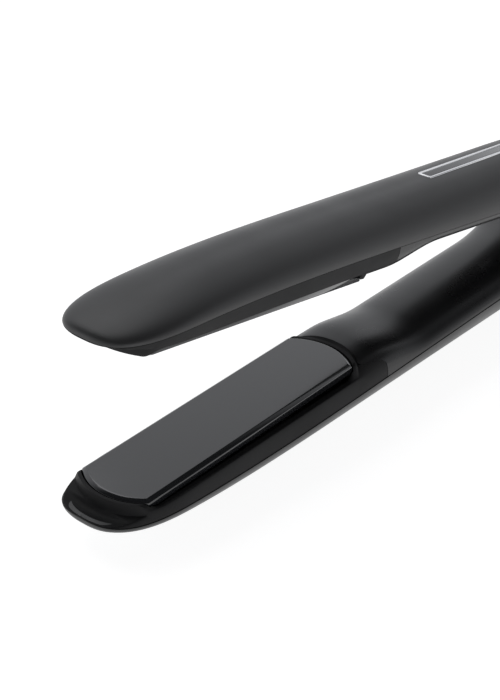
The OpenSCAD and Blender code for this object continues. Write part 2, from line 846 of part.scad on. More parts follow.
module filter_capacitor() {
    color([0.15, 0.2, 0.45])
        in_lower() {
            post(board_s[0] + 31, 4, -board_z + 0.1, -board_z + 6.3, 4);
            for (y = [-1, 1]) {
                post(board_s[0] + 31, 4 + y * 1.6, -board_z + 0.01, -board_z + 0.2, 0.4);
            }
        }
}
module power_triac() {
    color([0.1, 0.1, 0.1])
        in_lower()
            difference() {
                union() {
                    slab(board_s[0] + 12, board_s[0] + 22, -7, 2.5, -board_z + 0.05, -board_z + 3.4);
                    slab(board_s[0] + 12, board_s[0] + 26, -7, 2.5, -board_z + 0.05, -board_z + 1);
                }
                post(board_s[0] + 24, -2.2, -20, 0, 1.1);
            }
}
module lead_terminal() {
    color([0.85, 0.85, 0.8])
        in_lower()
            difference() {
                slab(board_s[1] - 13.5, board_s[1] - 7.5, -5, 5, -board_z + 0.05, -board_z + 5);
                for (y = [-1, 1]) {
                    along(board_s[1] - 16, board_s[1] - 4, y * 2.5, -board_z + 2.6, 1.2);
                }
            }
}
module cover_screw() {
    for (y = [-1, 1]) {
        post(cover_screw_s, y * cover_screw_y, -13, -4.55, 1.05);
        difference() {
            post(cover_screw_s, y * cover_screw_y, -4.56, -3.5, 2.4);
            slab(cover_screw_s - 1.7, cover_screw_s + 1.7, y * cover_screw_y - 0.3, y * cover_screw_y + 0.3, -4, -3);
        }
    }
}
module lower_cover_screws() {
    color([0.6, 0.6, 0.62])
        in_lower()
            cover_screw();
}
module upper_cover_screws() {
    color([0.6, 0.6, 0.62])
        in_upper()
            cover_screw();
}

// Trim strip on the crown of the upper shell
module strip(inset, z0, z1) {
    c = trim_corner;
    l = trim_len;
    h = trim_w / 2 - inset;
    translate([0, 0, z0])
        linear_extrude(height = z1 - z0)
            polygon([
                [-l + inset, -h + c], [-l + inset + c, -h], [-inset - c, -h], [-inset, -h + c],
                [-inset, h - c], [-inset - c, h], [-l + inset + c, h], [-l + inset, h - c]
            ]);
}
module trim_bezel() {
    color([0.85, 0.85, 0.87])
        in_upper()
            on_crown(trim_front)
                difference() {
                    strip(0, -0.3, 0.85);
                    strip(0.9, -1, 0.45);
                    translate([-30, 0, 0])
                        along_slot(-8, 8, 1);
                }
}
module trim_inlay() {
    color([0.25, 0.25, 0.28])
        in_upper()
            on_crown(trim_front)
                union() {
                    strip(1, -0.1, 0.4);
                    translate([-30, 0, 0])
                        intersection() {
                            along_slot(-7.9, 7.9, 0.9);
                            slab(-20, 20, -3, 3, 0.3, 1.6);
                        }
                }
}
module indicator_board() {
    color([0.05, 0.3, 0.15])
        in_upper()
            on_crown(trim_front)
                difference() {
                    slab(-44, -16, -5, 5, shell_wall + 1.5, shell_wall + 2.5);
                    for (s = [-41, -19]) {
                        post(s, 0, -1, 8, 1.1);
                    }
                }
}
module indicator_leds() {
    color([0.9, 0.9, 0.85])
        in_upper()
            on_crown(trim_front)
                for (s = [-35, -30, -25]) {
                    slab(s - 1, s + 1, -0.9, 0.9, shell_wall + 0.7, shell_wall + 1.47);
                }
}
module indicator_screws() {
    color([0.7, 0.7, 0.72])
        in_upper()
            on_crown(trim_front)
                for (s = [-41, -19]) {
                    post(s, 0, shell_wall + 0.1, shell_wall + 2.55, 0.95);
                    post(s, 0, shell_wall + 2.54, shell_wall + 3.4, 1.9);
                }
}

// Cord swivel
module swivel_gland() {
    color([0.1, 0.1, 0.11])
        in_lower()
            difference() {
                union() {
                    along(-rear_end - 0.2, -11.4, 0, -inlet_d, sleeve_r);
                    along(-rear_end - 3, -rear_end - 0.2 + EPS, 0, -inlet_d, sleeve_r + 1.6);
                    translate([-rear_end - 12, 0, -inlet_d])
                        rotate([0, 90, 0])
                            cylinder(r1 = sleeve_r - 0.6, r2 = sleeve_r + 0.4, h = 9.01);
                }
                along(-rear_end - 14, -10, 0, -inlet_d, cord_r);
                difference() {
                    along(-17.3, -16.3, 0, -inlet_d, sleeve_r + 1);
                    along(-18, -16, 0, -inlet_d, sleeve_r - 0.7);
                }
            }
}
module swivel_clip() {
    color([0.75, 0.75, 0.78])
        in_lower()
            difference() {
                along(-17.25, -16.35, 0, -inlet_d, sleeve_r + 0.9);
                along(-18, -16, 0, -inlet_d, sleeve_r - 0.65);
                slab(-18, -16, -1.2, 1.2, -inlet_d, 0);
            }
}
module slip_rings() {
    color([0.85, 0.65, 0.3])
        in_lower()
            for (s = [-15.6, -13]) {
                difference() {
                    along(s, s + 1.2, 0, -inlet_d, sleeve_r + 0.8);
                    along(s - 1, s + 3, 0, -inlet_d, sleeve_r + 0.02);
                }
            }
}
module brush_contacts() {
    color([0.8, 0.5, 0.3])
        in_lower() {
            for (y = [-1, 1]) {
                s = y > 0 ? -15.5 : -12.9;
                slab(s, s + 1, y > 0 ? sleeve_r + 0.9 : -8.6, y > 0 ? 8.6 : -sleeve_r - 0.9, -inlet_d - 1, -inlet_d + 1);
            }
        }
}

lower_shell();
lower_plate_housing();
lower_handle_cover();
lower_hinge_frame();
hinge_pin();
hinge_cap_left();
hinge_cap_right();
arm_spring();
lower_plate();
lower_heater();
lower_heater_clip();
lower_heat_sensors();
lower_plate_screws();
lower_cushions();
lower_cover_screws();
power_board();
board_screws();
filter_capacitor();
power_triac();
lead_terminal();
control_board();
tact_switches();
power_button();
temp_up_button();
temp_down_button();
swivel_gland();
swivel_clip();
slip_rings();
brush_contacts();
upper_shell();
upper_plate_housing();
upper_handle_cover();
upper_hinge_frame();
upper_plate();
upper_heater();
upper_heater_clip();
upper_heat_sensors();
upper_plate_screws();
upper_cushions();
upper_cover_screws();
trim_bezel();
trim_inlay();
indicator_board();
indicator_leds();
indicator_screws();
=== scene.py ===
import math

import bmesh
import bpy
import numpy as np
from mathutils import Matrix, Vector
from mathutils.bvhtree import BVHTree


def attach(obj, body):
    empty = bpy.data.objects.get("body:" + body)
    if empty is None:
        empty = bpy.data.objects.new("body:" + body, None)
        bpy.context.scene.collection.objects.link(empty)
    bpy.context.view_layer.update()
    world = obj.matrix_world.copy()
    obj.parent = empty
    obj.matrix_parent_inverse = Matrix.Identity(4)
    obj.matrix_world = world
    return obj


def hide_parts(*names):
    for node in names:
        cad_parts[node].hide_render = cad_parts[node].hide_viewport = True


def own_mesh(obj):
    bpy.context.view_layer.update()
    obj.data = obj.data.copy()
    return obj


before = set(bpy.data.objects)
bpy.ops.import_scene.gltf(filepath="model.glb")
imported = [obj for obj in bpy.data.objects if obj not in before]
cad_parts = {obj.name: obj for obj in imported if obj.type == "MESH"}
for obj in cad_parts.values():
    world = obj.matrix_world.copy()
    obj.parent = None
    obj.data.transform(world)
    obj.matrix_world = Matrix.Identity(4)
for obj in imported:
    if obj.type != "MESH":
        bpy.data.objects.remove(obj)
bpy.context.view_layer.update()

# ---------------------------------------------------------------- camera, light and table
# A pale table and large soft lights, as a product bench has them.
# The camera looks down along the open arms from the near side of the tips.
HINGE = Vector((-0.09911211, 0.0, 0.02573166))
TILT = math.radians(2.13)
OPEN = math.radians(10.95)


def from_arm(x, y, z):
    """A point of the lower arm's own frame, in millimetres from the hinge axis, in the part's frame."""
    c, s = math.cos(TILT), math.sin(TILT)
    return Vector((HINGE.x + (x * c + z * s) / 1000, y / 1000, HINGE.z + (-x * s + z * c) / 1000))


def aim(azimuth, elevation, roll, scale, shift_x, shift_y, focal, target):
    """Camera centre and axes for a view given in the lower arm's frame."""
    a, e, r = (math.radians(v) for v in (azimuth, elevation, roll))
    back = Vector((math.sin(a) * math.cos(e), -math.cos(a) * math.cos(e), math.sin(e)))
    right = (-back).cross(Vector((0, 0, 1))).normalized()
    up = right.cross(-back)
    right, up = math.cos(r) * right + math.sin(r) * up, -math.sin(r) * right + math.cos(r) * up
    centre = target + back * focal * scale - right * shift_x * scale - up * shift_y * scale
    turn = lambda v: from_arm(*v) - from_arm(0, 0, 0)
    return from_arm(*centre), turn(right).normalized(), turn(up).normalized()


scene = bpy.context.scene
FOCAL = 1815.4
place, right, up = aim(131.33182564, 32.19535443, -0.80575306, 0.29888502,
                       18.82545499, 23.2384404, FOCAL, Vector((170, 0, 20)))
camera = bpy.data.objects.new("camera", bpy.data.cameras.new("camera"))
scene.collection.objects.link(camera)
back = right.cross(up)
camera.matrix_world = Matrix(((right.x, up.x, back.x, place.x), (right.y, up.y, back.y, place.y),
                              (right.z, up.z, back.z, place.z), (0, 0, 0, 1)))
camera.data.lens = FOCAL / 700 * 36
camera.data.sensor_width = 36
camera.data.clip_start = 0.01
scene.camera = camera
scene.view_settings.view_transform = "Standard"


def softbox(name, where, to, size, power, size_y=None):
    """A rectangular area light at one place, facing another."""
    data = bpy.data.lights.new(name, "AREA")
    data.shape = "RECTANGLE"
    data.size, data.size_y, data.energy = size, size_y or size, power
    lamp = bpy.data.objects.new(name, data)
    lamp.location = where
    lamp.rotation_euler = (Vector(to) - Vector(where)).to_track_quat("-Z", "Y").to_euler()
    scene.collection.objects.link(lamp)
    return lamp


def preset(node, **values):
    """Sets the inputs of a node by name, with _ for a space."""
    for key, value in values.items():
        node.inputs[key.replace("_", " ")].default_value = value


def link(tree, *wires):
    """Joins sockets of a node tree: each wire is a node and its output, then a node and its input."""
    for a, out, b, into in wires:
        tree.links.new(a.outputs[out], b.inputs[into])


MIDDLE = (0.02, 0, 0.03)
softbox("top_softbox", (0.0, -0.45, 0.85), MIDDLE, 0.8, 1.5, 0.6)
softbox("near_softbox", (0.35, 0.9, 0.25), MIDDLE, 0.5, 0.8)

world = bpy.data.worlds.new("studio")
scene.world = world
world.use_nodes = True
sky = world.node_tree
preset(sky.nodes["Background"], Strength=1.0)
direction, facing, split, low, higher, tint = (sky.nodes.new("ShaderNode" + k) for k in (
    "TexCoord", "VectorMath", "SeparateXYZ", "MapRange", "Math", "Mix"))
fade = sky.nodes.new("ShaderNodeMapRange")
facing.operation, higher.operation, tint.data_type = "DOT_PRODUCT", "MAXIMUM", "RGBA"
facing.inputs[1].default_value = (-0.62, -0.72, 0.0)
for ramp, ends in ((fade, (0.12, 0.6, 0.04, 0.82)), (low, (0.66, 0.2, 0.0, 0.75))):
    ramp.interpolation_type = "SMOOTHSTEP"
    preset(ramp, **dict(zip(("From_Min", "From_Max", "To_Min", "To_Max"), ends)))
preset(tint, A=(0, 0, 0, 1), B=(0.95, 0.965, 1, 1))
link(sky, (direction, "Generated", facing, 0), (direction, "Generated", split, 0),
     (facing, "Value", fade, "Value"), (split, "Z", low, "Value"), (fade, "Result", higher, 0),
     (low, "Result", higher, 1), (higher, 0, tint, "Factor"),
     (tint, "Result", sky.nodes["Background"], "Color"))

table = bpy.data.meshes.new("table")
HALF_TABLE = 2.5
table.from_pydata([(-HALF_TABLE, -HALF_TABLE, 0), (HALF_TABLE, -HALF_TABLE, 0),
                   (HALF_TABLE, HALF_TABLE, 0), (-HALF_TABLE, HALF_TABLE, 0)], [], [(0, 1, 2, 3)])
table_top = bpy.data.objects.new("table_top", table)
scene.collection.objects.link(table_top)
paper = bpy.data.materials.new("white_paper")
paper.use_nodes = True
preset(paper.node_tree.nodes["Principled BSDF"], Base_Color=(0.5, 0.5, 0.5, 1), Roughness=0.9,
       Specular_IOR_Level=0.1, Emission_Color=(1, 1, 1, 1), Emission_Strength=0.88)
table.materials.append(paper)

# ---------------------------------------------------------------- outer shells
# Two moulded half-round shells of glass-filled plastic with a black soft-touch lacquer.
# Each is one thin boat-shaped moulding, open towards the other arm, notched for the hinge.
ARM_HALF = 16.7
TIP = 250.86
REAR = 20.0
WALL = 1.8
NOSE = 220.1
PLATE_REAR = 146.5
PLATE_LEN = 90.0
JOINT = PLATE_REAR - 7.5
CROWN_TILT = math.tan(TILT)
CROWN_S, CROWN_DEEP = 75, 22.96
TAPER_S, NOSE_DEEP = 139.6, 6.7
HUB_R, GLAND_HOLE_R = 8.4, 5.08


def clamp01(x):
    return np.clip(x, 0, 1)


def ease(x):
    u = clamp01(x)
    return u * u * (3 - 2 * u)


def mix(a, b, t):
    return a + (b - a) * t


def half_width(s):
    front = ARM_HALF * (1 - clamp01((s - NOSE) / (TIP - NOSE)) ** 3) ** (1 / 3)
    rear = ARM_HALF * (1 - clamp01((6 - s) / 26.612) ** 4) ** 0.25
    return np.minimum(front, rear)


def seam_depth(s):
    rise = 5.7 * clamp01((s - 134.6) / (TIP - 134.6)) ** 2.65
    return 10.1 - rise - 7.1 * (1 - ease((s - 14) / 36))


def crown_depth(s):
    line = CROWN_DEEP - CROWN_TILT * (s - CROWN_S) - 0.0036 * np.maximum(0, 30 - s) ** 2
    drop = CROWN_DEEP - CROWN_TILT * (TIP - CROWN_S) - NOSE_DEEP
    return line - drop * clamp01((s - TAPER_S) / (TIP - TAPER_S)) ** 3.68


def fullness(s):
    return 1.86 + 0.45 * clamp01((s - 120) / (TIP - 120)) ** 3


LAND = 4.05 / ARM_HALF
ROUND_CROWN = 30
ROUND_EDGE = 9


def shell_half(s, inset):
    """Half a section of the shell from seam to crown: a superellipse that runs smoothly into a flat land."""
    w, top, deep, n = half_width(s) - inset, seam_depth(s), crown_depth(s) - inset, fullness(s)
    nose = math.sqrt(max(0.0, 1 - clamp01((s - TIP + 2.0) / 2.0) ** 2))
    tail = 2.0 * (1 - math.sqrt(max(0.0, 1 - clamp01((-REAR + 2.0 - s) / 2.0) ** 2)))
    deep = top + (deep - top) * (0.35 + 0.65 * nose) - tail
    w, top = w - tail, top + 0.6 * tail
    full = (deep - top) / math.sin(math.acos(LAND ** (n / 2))) ** (2 / n)
    stop = math.acos(min(1, (LAND + 0.2)) ** (n / 2))
    t = np.linspace(0, stop, ROUND_CROWN)
    y, z = w * np.cos(t) ** (2 / n), -top - full * np.sin(t) ** (2 / n)
    slope = np.array([y[-1] - y[-2], z[-1] - z[-2]])
    slope /= np.linalg.norm(slope)
    end = np.array([w * max(LAND - 0.16, 0.02), -deep])
    first = np.array([y[-1], z[-1]])
    reach = (first[0] - end[0]) / 3
    p1, p2 = first + slope * reach, end + np.array([reach, 0])
    u = np.linspace(0, 1, ROUND_EDGE + 1)[1:, None]
    bow = (1 - u) ** 3 * first + 3 * u * (1 - u) ** 2 * p1 + 3 * u * u * (1 - u) * p2 + u ** 3 * end
    y = np.concatenate([y, bow[:, 0], [0.0]])
    z = np.concatenate([z, bow[:, 1], [-deep]])
    return y, z


def in_arm(arm, s, y, z):
    """Points of one arm's own frame, in millimetres, put into the part's frame in metres."""
    a = TILT if arm == "lower" else TILT - OPEN
    z = z if arm == "lower" else -z
    c, d = math.cos(a), math.sin(a)
    return np.stack([HINGE.x + (s * c + z * d) / 1000, y / 1000, HINGE.z + (-s * d + z * c) / 1000], -1)


def solid(name, points, faces, sharp=35):
    """A closed mesh object with its faces outwards, smooth but for edges sharper than the given angle."""
    mesh = bpy.data.meshes.new(name)
    mesh.from_pydata([tuple(p) for p in points], [], faces)
    b = bmesh.new()
    b.from_mesh(mesh)
    bmesh.ops.remove_doubles(b, verts=b.verts, dist=1e-7)
    bmesh.ops.dissolve_degenerate(b, edges=b.edges, dist=1e-7)
    bmesh.ops.recalc_face_normals(b, faces=b.faces)
    if b.calc_volume(signed=True) < 0:
        bmesh.ops.reverse_faces(b, faces=b.faces)
    b.to_mesh(mesh)
    b.free()
    mesh.polygons.foreach_set("use_smooth", [True] * len(mesh.polygons))
    mesh.set_sharp_from_angle(angle=math.radians(sharp))
    obj = bpy.data.objects.new(name, mesh)
    scene.collection.objects.link(obj)
    return obj


def grid(rows, cols, base=0):
    return [(a, a + 1, a + cols + 1, a + cols)
            for a in (base + i * cols + j for i in range(rows - 1) for j in range(cols - 1))]


def sheets(rows, cols, ends=True):
    """Faces of a thin body: two facing grids of points joined along both sides, and across both ends."""
    off = rows * cols
    faces = grid(rows, cols) + grid(rows, cols, off)
    for a in (i * cols + j for i in range(rows - 1) for j in (0, cols - 1)):
        faces.append((a, a + cols, a + cols + off, a + off))
    for a in (i * cols + j for i in (0, rows - 1) for j in range(cols - 1)) if ends else ():
        faces.append((a, a + 1, off + a + 1, off + a))
    return faces


def stack(rows, n):
    """Faces of a body of stacked loops of n points, closed by its first and last loop."""
    faces = [(i * n + j, i * n + (j + 1) % n, (i + 1) * n + (j + 1) % n, (i + 1) * n + j)
             for i in range(rows - 1) for j in range(n)]
    return faces + [tuple(range(n)), tuple((rows - 1) * n + j for j in range(n))]


def mirrored(half, sign=1):
    """A row of values from one edge to the middle, carried on to the other edge."""
    return np.concatenate([half, sign * half[-2::-1]])


def lathe(arm, profile, centre, along="z", steps=72):
    """Points and faces of a turned ring or disc, from the (radius, height) pairs of its closed section."""
    pts, faces = [], []
    n = len(profile)
    for k in range(steps):
        a = 2 * math.pi * k / steps
        for r, h in profile:
            u, v = r * math.cos(a), r * math.sin(a)
            q = {"z": (u, v, h), "y": (u, h, v), "x": (h, u, v)}[along]
            pts.append([centre[i] + q[i] for i in range(3)])
    for k in range(steps):
        m = (k + 1) % steps
        faces += [(k * n + j, k * n + (j + 1) % n, m * n + (j + 1) % n, m * n + j) for j in range(n)]
    pts = np.array(pts)
    return in_arm(arm, pts[:, 0], pts[:, 1], pts[:, 2]), faces


def cut(obj, cutters, sharp=35):
    """Cuts other objects out of one, keeping the smooth shading that the uncut surface had."""
    keep = obj.data.copy()
    for c in cutters:
        m = obj.modifiers.new("cut", "BOOLEAN")
        m.operation, m.solver, m.object = "DIFFERENCE", "EXACT", c
    done = bpy.data.meshes.new_from_object(obj.evaluated_get(bpy.context.evaluated_depsgraph_get()))
    obj.modifiers.clear()
    obj.data = done
    done.name = obj.name
    for c in cutters:
        bpy.data.objects.remove(c)
    done.polygons.foreach_set("use_smooth", [True] * len(done.polygons))
    done.set_sharp_from_angle(angle=math.radians(sharp))
    tree = BVHTree.FromPolygons([v.co for v in keep.vertices], [tuple(p.vertices) for p in keep.polygons])
    old = [Vector(n.vector) for n in keep.corner_normals]
    new = [Vector(n.vector) for n in done.corner_normals]
    for p in done.polygons:
        for li in p.loop_indices:
            co = done.vertices[done.loops[li].vertex_index].co
            near = tree.find_nearest(co + (p.center - co) * 1e-3)
            if near[0] is None or near[3] > 2e-6 or near[1].dot(p.normal) < 0.9:
                continue
            q = keep.polygons[near[2]]
            weights = [1 / (1e-9 + (keep.vertices[v].co - co).length) for v in q.vertices]
            n = Vector()
            for w, qi in zip(weights, q.loop_indices):
                n += old[qi] * w
            if n.length > 0:
                new[li] = n.normalized()
    done.normals_split_custom_set(new)
    return obj


def drum(arm, centre, radius, z0, z1, along="z"):
    pts, faces = lathe(arm, [(radius, z0), (radius, z1), (0.0005, z1), (0.0005, z0)], centre, along)
    return solid("cutter", pts, faces)


# Shared finishes: a fine moulded or sprayed grain, and the faint marks that hands and cleaning leave.
def group(name, sockets):
    tree = bpy.data.node_groups.new(name, "ShaderNodeTree")
    for kind, label, default in sockets:
        s = tree.interface.new_socket(label, in_out=kind, socket_type="NodeSocket" + default[0])
        if kind == "INPUT" and default[1] is not None:
            s.default_value = default[1]
    return tree, tree.nodes.new("NodeGroupInput"), tree.nodes.new("NodeGroupOutput")


def noise(tree, size, detail=3.0, rough=0.55):
    n = tree.nodes.new("ShaderNodeTexNoise")
    preset(n, Scale=size, Detail=detail, Roughness=rough)
    return n


def grain_group():
    """Height of a fine even grain, with a slow unevenness under it."""
    t, gi, go = group("moulded_grain", [
        ("INPUT", "Scale", ("Float", 4500.0)), ("INPUT", "Waviness", ("Float", 0.2)),
        ("OUTPUT", "Height", ("Float", None))])
    place = t.nodes.new("ShaderNodeTexCoord")
    fine, slow, add = noise(t, 1, 2.0), noise(t, 160, 2.0), t.nodes.new("ShaderNodeMath")
    add.operation = "MULTIPLY_ADD"
    link(t, (place, "Object", fine, "Vector"), (place, "Object", slow, "Vector"), (gi, "Scale", fine, "Scale"),
         (slow, "Fac", add, 0), (gi, "Waviness", add, 1), (fine, "Fac", add, 2), (add, 0, go, "Height"))
    return t


def marks_group():
    """Roughness and colour that vary slightly: wiped patches, fine dust and faint scuffs."""
    t, gi, go = group("handling_marks", [
        ("INPUT", "Colour", ("Color", (0.02, 0.02, 0.02, 1))), ("INPUT", "Dust", ("Color", (0.2, 0.2, 0.2, 1))),
        ("INPUT", "Roughness", ("Float", 0.5)), ("INPUT", "Variation", ("Float", 0.06)),
        ("INPUT", "Dust amount", ("Float", 0.05)),
        ("OUTPUT", "Colour", ("Color", None)), ("OUTPUT", "Roughness", ("Float", None))])
    place = t.nodes.new("ShaderNodeTexCoord")
    patch, speck = noise(t, 45, 4.0), noise(t, 2600, 1.0)
    spread, rough, dots, amount, blend = (t.nodes.new("ShaderNode" + k) for k in (
        "MapRange", "Math", "MapRange", "Math", "Mix"))
    preset(spread, From_Min=0.35, From_Max=0.65, To_Min=-1, To_Max=1)
    preset(dots, From_Min=0.62, From_Max=0.74)
    rough.operation, rough.use_clamp, amount.operation = "MULTIPLY_ADD", True, "MULTIPLY"
    blend.data_type = "RGBA"
    link(t, (place, "Object", patch, "Vector"), (place, "Object", speck, "Vector"),
         (patch, "Fac", spread, "Value"), (spread, "Result", rough, 0), (gi, "Variation", rough, 1),
         (gi, "Roughness", rough, 2), (rough, 0, go, "Roughness"), (speck, "Fac", dots, "Value"),
         (dots, "Result", amount, 0), (gi, "Dust amount", amount, 1), (amount, 0, blend, "Factor"),
         (gi, "Colour", blend, "A"), (gi, "Dust", blend, "B"), (blend, "Result", go, "Colour"))
    return t


GRAIN, MARKS = grain_group(), marks_group()


def finish(name, colour, rough, variation=0.05, dust=0.04, grain=4500.0, bump=0.05, waviness=0.2, **values):
    """A material of plain plastic, rubber or metal with the shared grain and handling marks."""
    m = bpy.data.materials.new(name)
    m.use_nodes = True
    t = m.node_tree
    shader = t.nodes["Principled BSDF"]
    marks, grain_node, bump_node = (t.nodes.new("ShaderNode" + k) for k in ("Group", "Group", "Bump"))
    marks.node_tree, grain_node.node_tree = MARKS, GRAIN
    preset(marks, Colour=(*colour, 1), Dust=tuple(min(1, c * 2.2 + 0.03) for c in colour) + (1,),
           Roughness=rough, Variation=variation, Dust_amount=dust)
    preset(grain_node, Scale=grain, Waviness=waviness)
    preset(bump_node, Strength=bump, Distance=0.0001)
    link(t, (marks, "Colour", shader, "Base Color"), (marks, "Roughness", shader, "Roughness"),
         (grain_node, "Height", bump_node, "Height"), (bump_node, "Normal", shader, "Normal"))
    preset(shader, **values)
    return m


SOFT_TOUCH = finish("soft_touch_lacquer", (0.02, 0.02, 0.0205), 0.4, 0.03, 0.03, 3800, 0.12, 0.5,
                    Specular_IOR_Level=0.5)
STATIONS = np.concatenate([
    np.linspace(-REAR, -REAR + 2.4, 9), np.linspace(-16.4, 50, 34), np.linspace(52.5, 137, 32),
    np.linspace(TAPER_S, 215, 38), TIP - (TIP - 217) * (1 - np.linspace(0, 0.998, 44)) ** 1.9])

INLET, MIDDLE_S, LIP = 9.6, 100, 0.22


def shell(arm, gland_hole):
    outer, inner = [], []
    tip_scale, rear_scale = (TIP - 2 - MIDDLE_S) / (TIP - MIDDLE_S), (MIDDLE_S + REAR - 2) / (MIDDLE_S + REAR)
    rows = len(STATIONS)
    for s in STATIONS:
        for inset, out in ((0.0, outer), (WALL, inner)):
            at = s if inset == 0 else MIDDLE_S + (s - MIDDLE_S) * (tip_scale if s > MIDDLE_S else rear_scale)
            y, z = shell_half(s, inset)
            if inset == 0:
                y = np.concatenate([[y[0] - LIP, y[0] - LIP * 0.3], y])
                z = np.concatenate([[z[0], z[0] - LIP * 0.05], z])
                z[2] -= LIP * 0.35
            else:
                y = np.concatenate([[y[0], y[0]], y])
                z = np.concatenate([[z[0], z[0]], z])
            out.append(in_arm(arm, np.full(2 * len(y) - 1, at), mirrored(y, -1), mirrored(z)))
    cols = len(outer[0])
    pts = np.concatenate(outer + inner)
    off = rows * cols
    faces = sheets(rows, cols, ends=False)
    last = (rows - 1) * cols
    faces.append(tuple(last + j for j in range(cols)))
    faces.append(tuple(off + last + j for j in range(cols)))
    faces += [(last, last + cols - 1, off + last + cols - 1, off + last), (0, cols - 1, off + cols - 1, off)]
    if not gland_hole:
        faces += [tuple(range(cols)), tuple(off + j for j in range(cols))]
    else:
        # The rear wall closes round the hole of the cord swivel
        rings = []
        for b, at in ((0, -REAR), (off, 2 - REAR)):
            loop = [b + j for j in range(cols)]
            from_hinge = (pts[loop] - np.array(HINGE)) * 1000
            zs = from_hinge[:, 0] * math.sin(TILT) + from_hinge[:, 2] * math.cos(TILT)
            d = np.stack([from_hinge[:, 1], zs + INLET], -1)
            d = d / np.linalg.norm(d, axis=1)[:, None] * GLAND_HOLE_R
            n0 = len(pts)
            pts = np.concatenate([pts, in_arm(arm, np.full(cols, at), d[:, 0], d[:, 1] - INLET)])
            faces += [(loop[j], loop[(j + 1) % cols], n0 + (j + 1) % cols, n0 + j) for j in range(cols)]
            rings.append(n0)
        a, b = rings
        faces += [(a + j, a + (j + 1) % cols, b + (j + 1) % cols, b + j) for j in range(cols)]
    obj = solid(arm + "_shell_moulding", pts, faces, 40)
    cut(obj, [drum(arm, (0, 0, 0), HUB_R, 8 * k, 19 * k, "y") for k in (-1, 1)], 40)
    obj.data.materials.append(SOFT_TOUCH)
    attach(obj, arm + "_arm")
    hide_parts(arm + "_shell")
    return obj


shell("lower", True)
shell("upper", False)

# ---------------------------------------------------------------- plate housings
# A heat-resistant moulding along the front of each arm: a flat rim beside the plate, a low wall
# that hugs each bowed end of the plate, and the scooped bill of the nose. It clips into the shell.
SEAM_GAP = 0.2
PLATE_HALF, BOW = 12.0, 4.5
BOW_R = (PLATE_HALF ** 2 + BOW ** 2) / (2 * BOW)
TIP_C = PLATE_REAR + PLATE_LEN + BOW - BOW_R
REAR_C = PLATE_REAR - BOW + BOW_R
POCKET_R = BOW_R + 1.6
POCKET_HALF = PLATE_HALF + 1.6
CUSHION_SEAT, POCKET_FLOOR, POCKET_UNDER = 7.2, 9.0, 9.12
WALL_OUT = POCKET_R + 1.8
HOUSING_PLASTIC = finish("heat_resistant_plastic", (0.01, 0.01, 0.0104), 0.56, 0.04, 0.03, 5200, 0.1, 0.3,
                         Specular_IOR_Level=0.16)


def inner_surface(s, y):
    """Height of the arm's inner side: a dome along the handle that flattens into the rim beside the plate."""
    w = np.maximum(half_width(s) - SEAM_GAP, 0.05)
    base = seam_depth(s) - SEAM_GAP
    q = np.minimum(np.abs(y) / w, 1)
    towards = ease((s - JOINT + 31) / 26)
    ridge = mix(3.1, 0.2, towards)
    n = mix(1.9, 2.8, towards)
    dome = -base + (base - ridge) * (1 - q ** n) ** (1 / n)
    nose_base = seam_depth(TIP) - 0.1
    fall = 2.9 + 1.5 * clamp01((PLATE_REAR + PLATE_LEN - s) / PLATE_LEN)
    top = np.minimum(base - 0.15, mix(fall, nose_base, ease((s - TIP_C - 8) / (TIP - TIP_C - 8))))
    scoop = 1.3 * np.sin(math.pi * clamp01((s - TIP_C - 21.5) / (TIP - TIP_C - 21.5)) ** 0.6)
    edge = 0.94 * w - 0.15
    u = clamp01((w - np.abs(y)) / (w - edge))
    side = -base + (base - top) * (1 - (1 - u) ** 2)
    f = clamp01(np.abs(y) / edge)
    flat = -top - scoop * (1 - f * f)
    rim = np.where(np.abs(y) > edge, side, flat)
    behind = arc(REAR_C, -1, WALL_OUT + 0.35, np.minimum(np.abs(y), 13.0))
    return mix(dome, rim, ease((s - behind + 0.4) / 5))


def arc(c, side, rho, y):
    return c + side * np.sqrt(np.maximum(rho ** 2 - y ** 2, 1))


def joint_line(y):
    """Front edge of the handle cover: along the back of the rear wall, then back along both sides."""
    a = np.abs(y)
    along_wall = arc(REAR_C, -1, WALL_OUT + 0.35, np.minimum(a, 13.0))
    return along_wall - 10.9 * ease((a - 12.2) / 3.4)


SIDE_N, RIM_N, IN_N = 12, 8, 24


def columns(s):
    """Half of the across positions at one station, from the outer edge to the middle."""
    w = half_width(s) - SEAM_GAP
    pocket = POCKET_HALF * np.minimum(1, w / (half_width(238.0) - SEAM_GAP))
    edge = np.maximum(0.94 * w - 0.15, pocket + 0.02 * w)
    side = [mix(w, edge, u) for u in (0, 0.03, 0.08, 0.15, 0.23, 0.33, 0.44, 0.56, 0.69, 0.82, 0.92, 1)]
    rim = [mix(edge, pocket, u) for u in (0.12, 0.28, 0.45, 0.6, 0.75, 0.88, 0.97, 1)]
    inside = [pocket * (1 - (k / IN_N)) for k in range(1, IN_N + 1)]
    return side + rim + inside


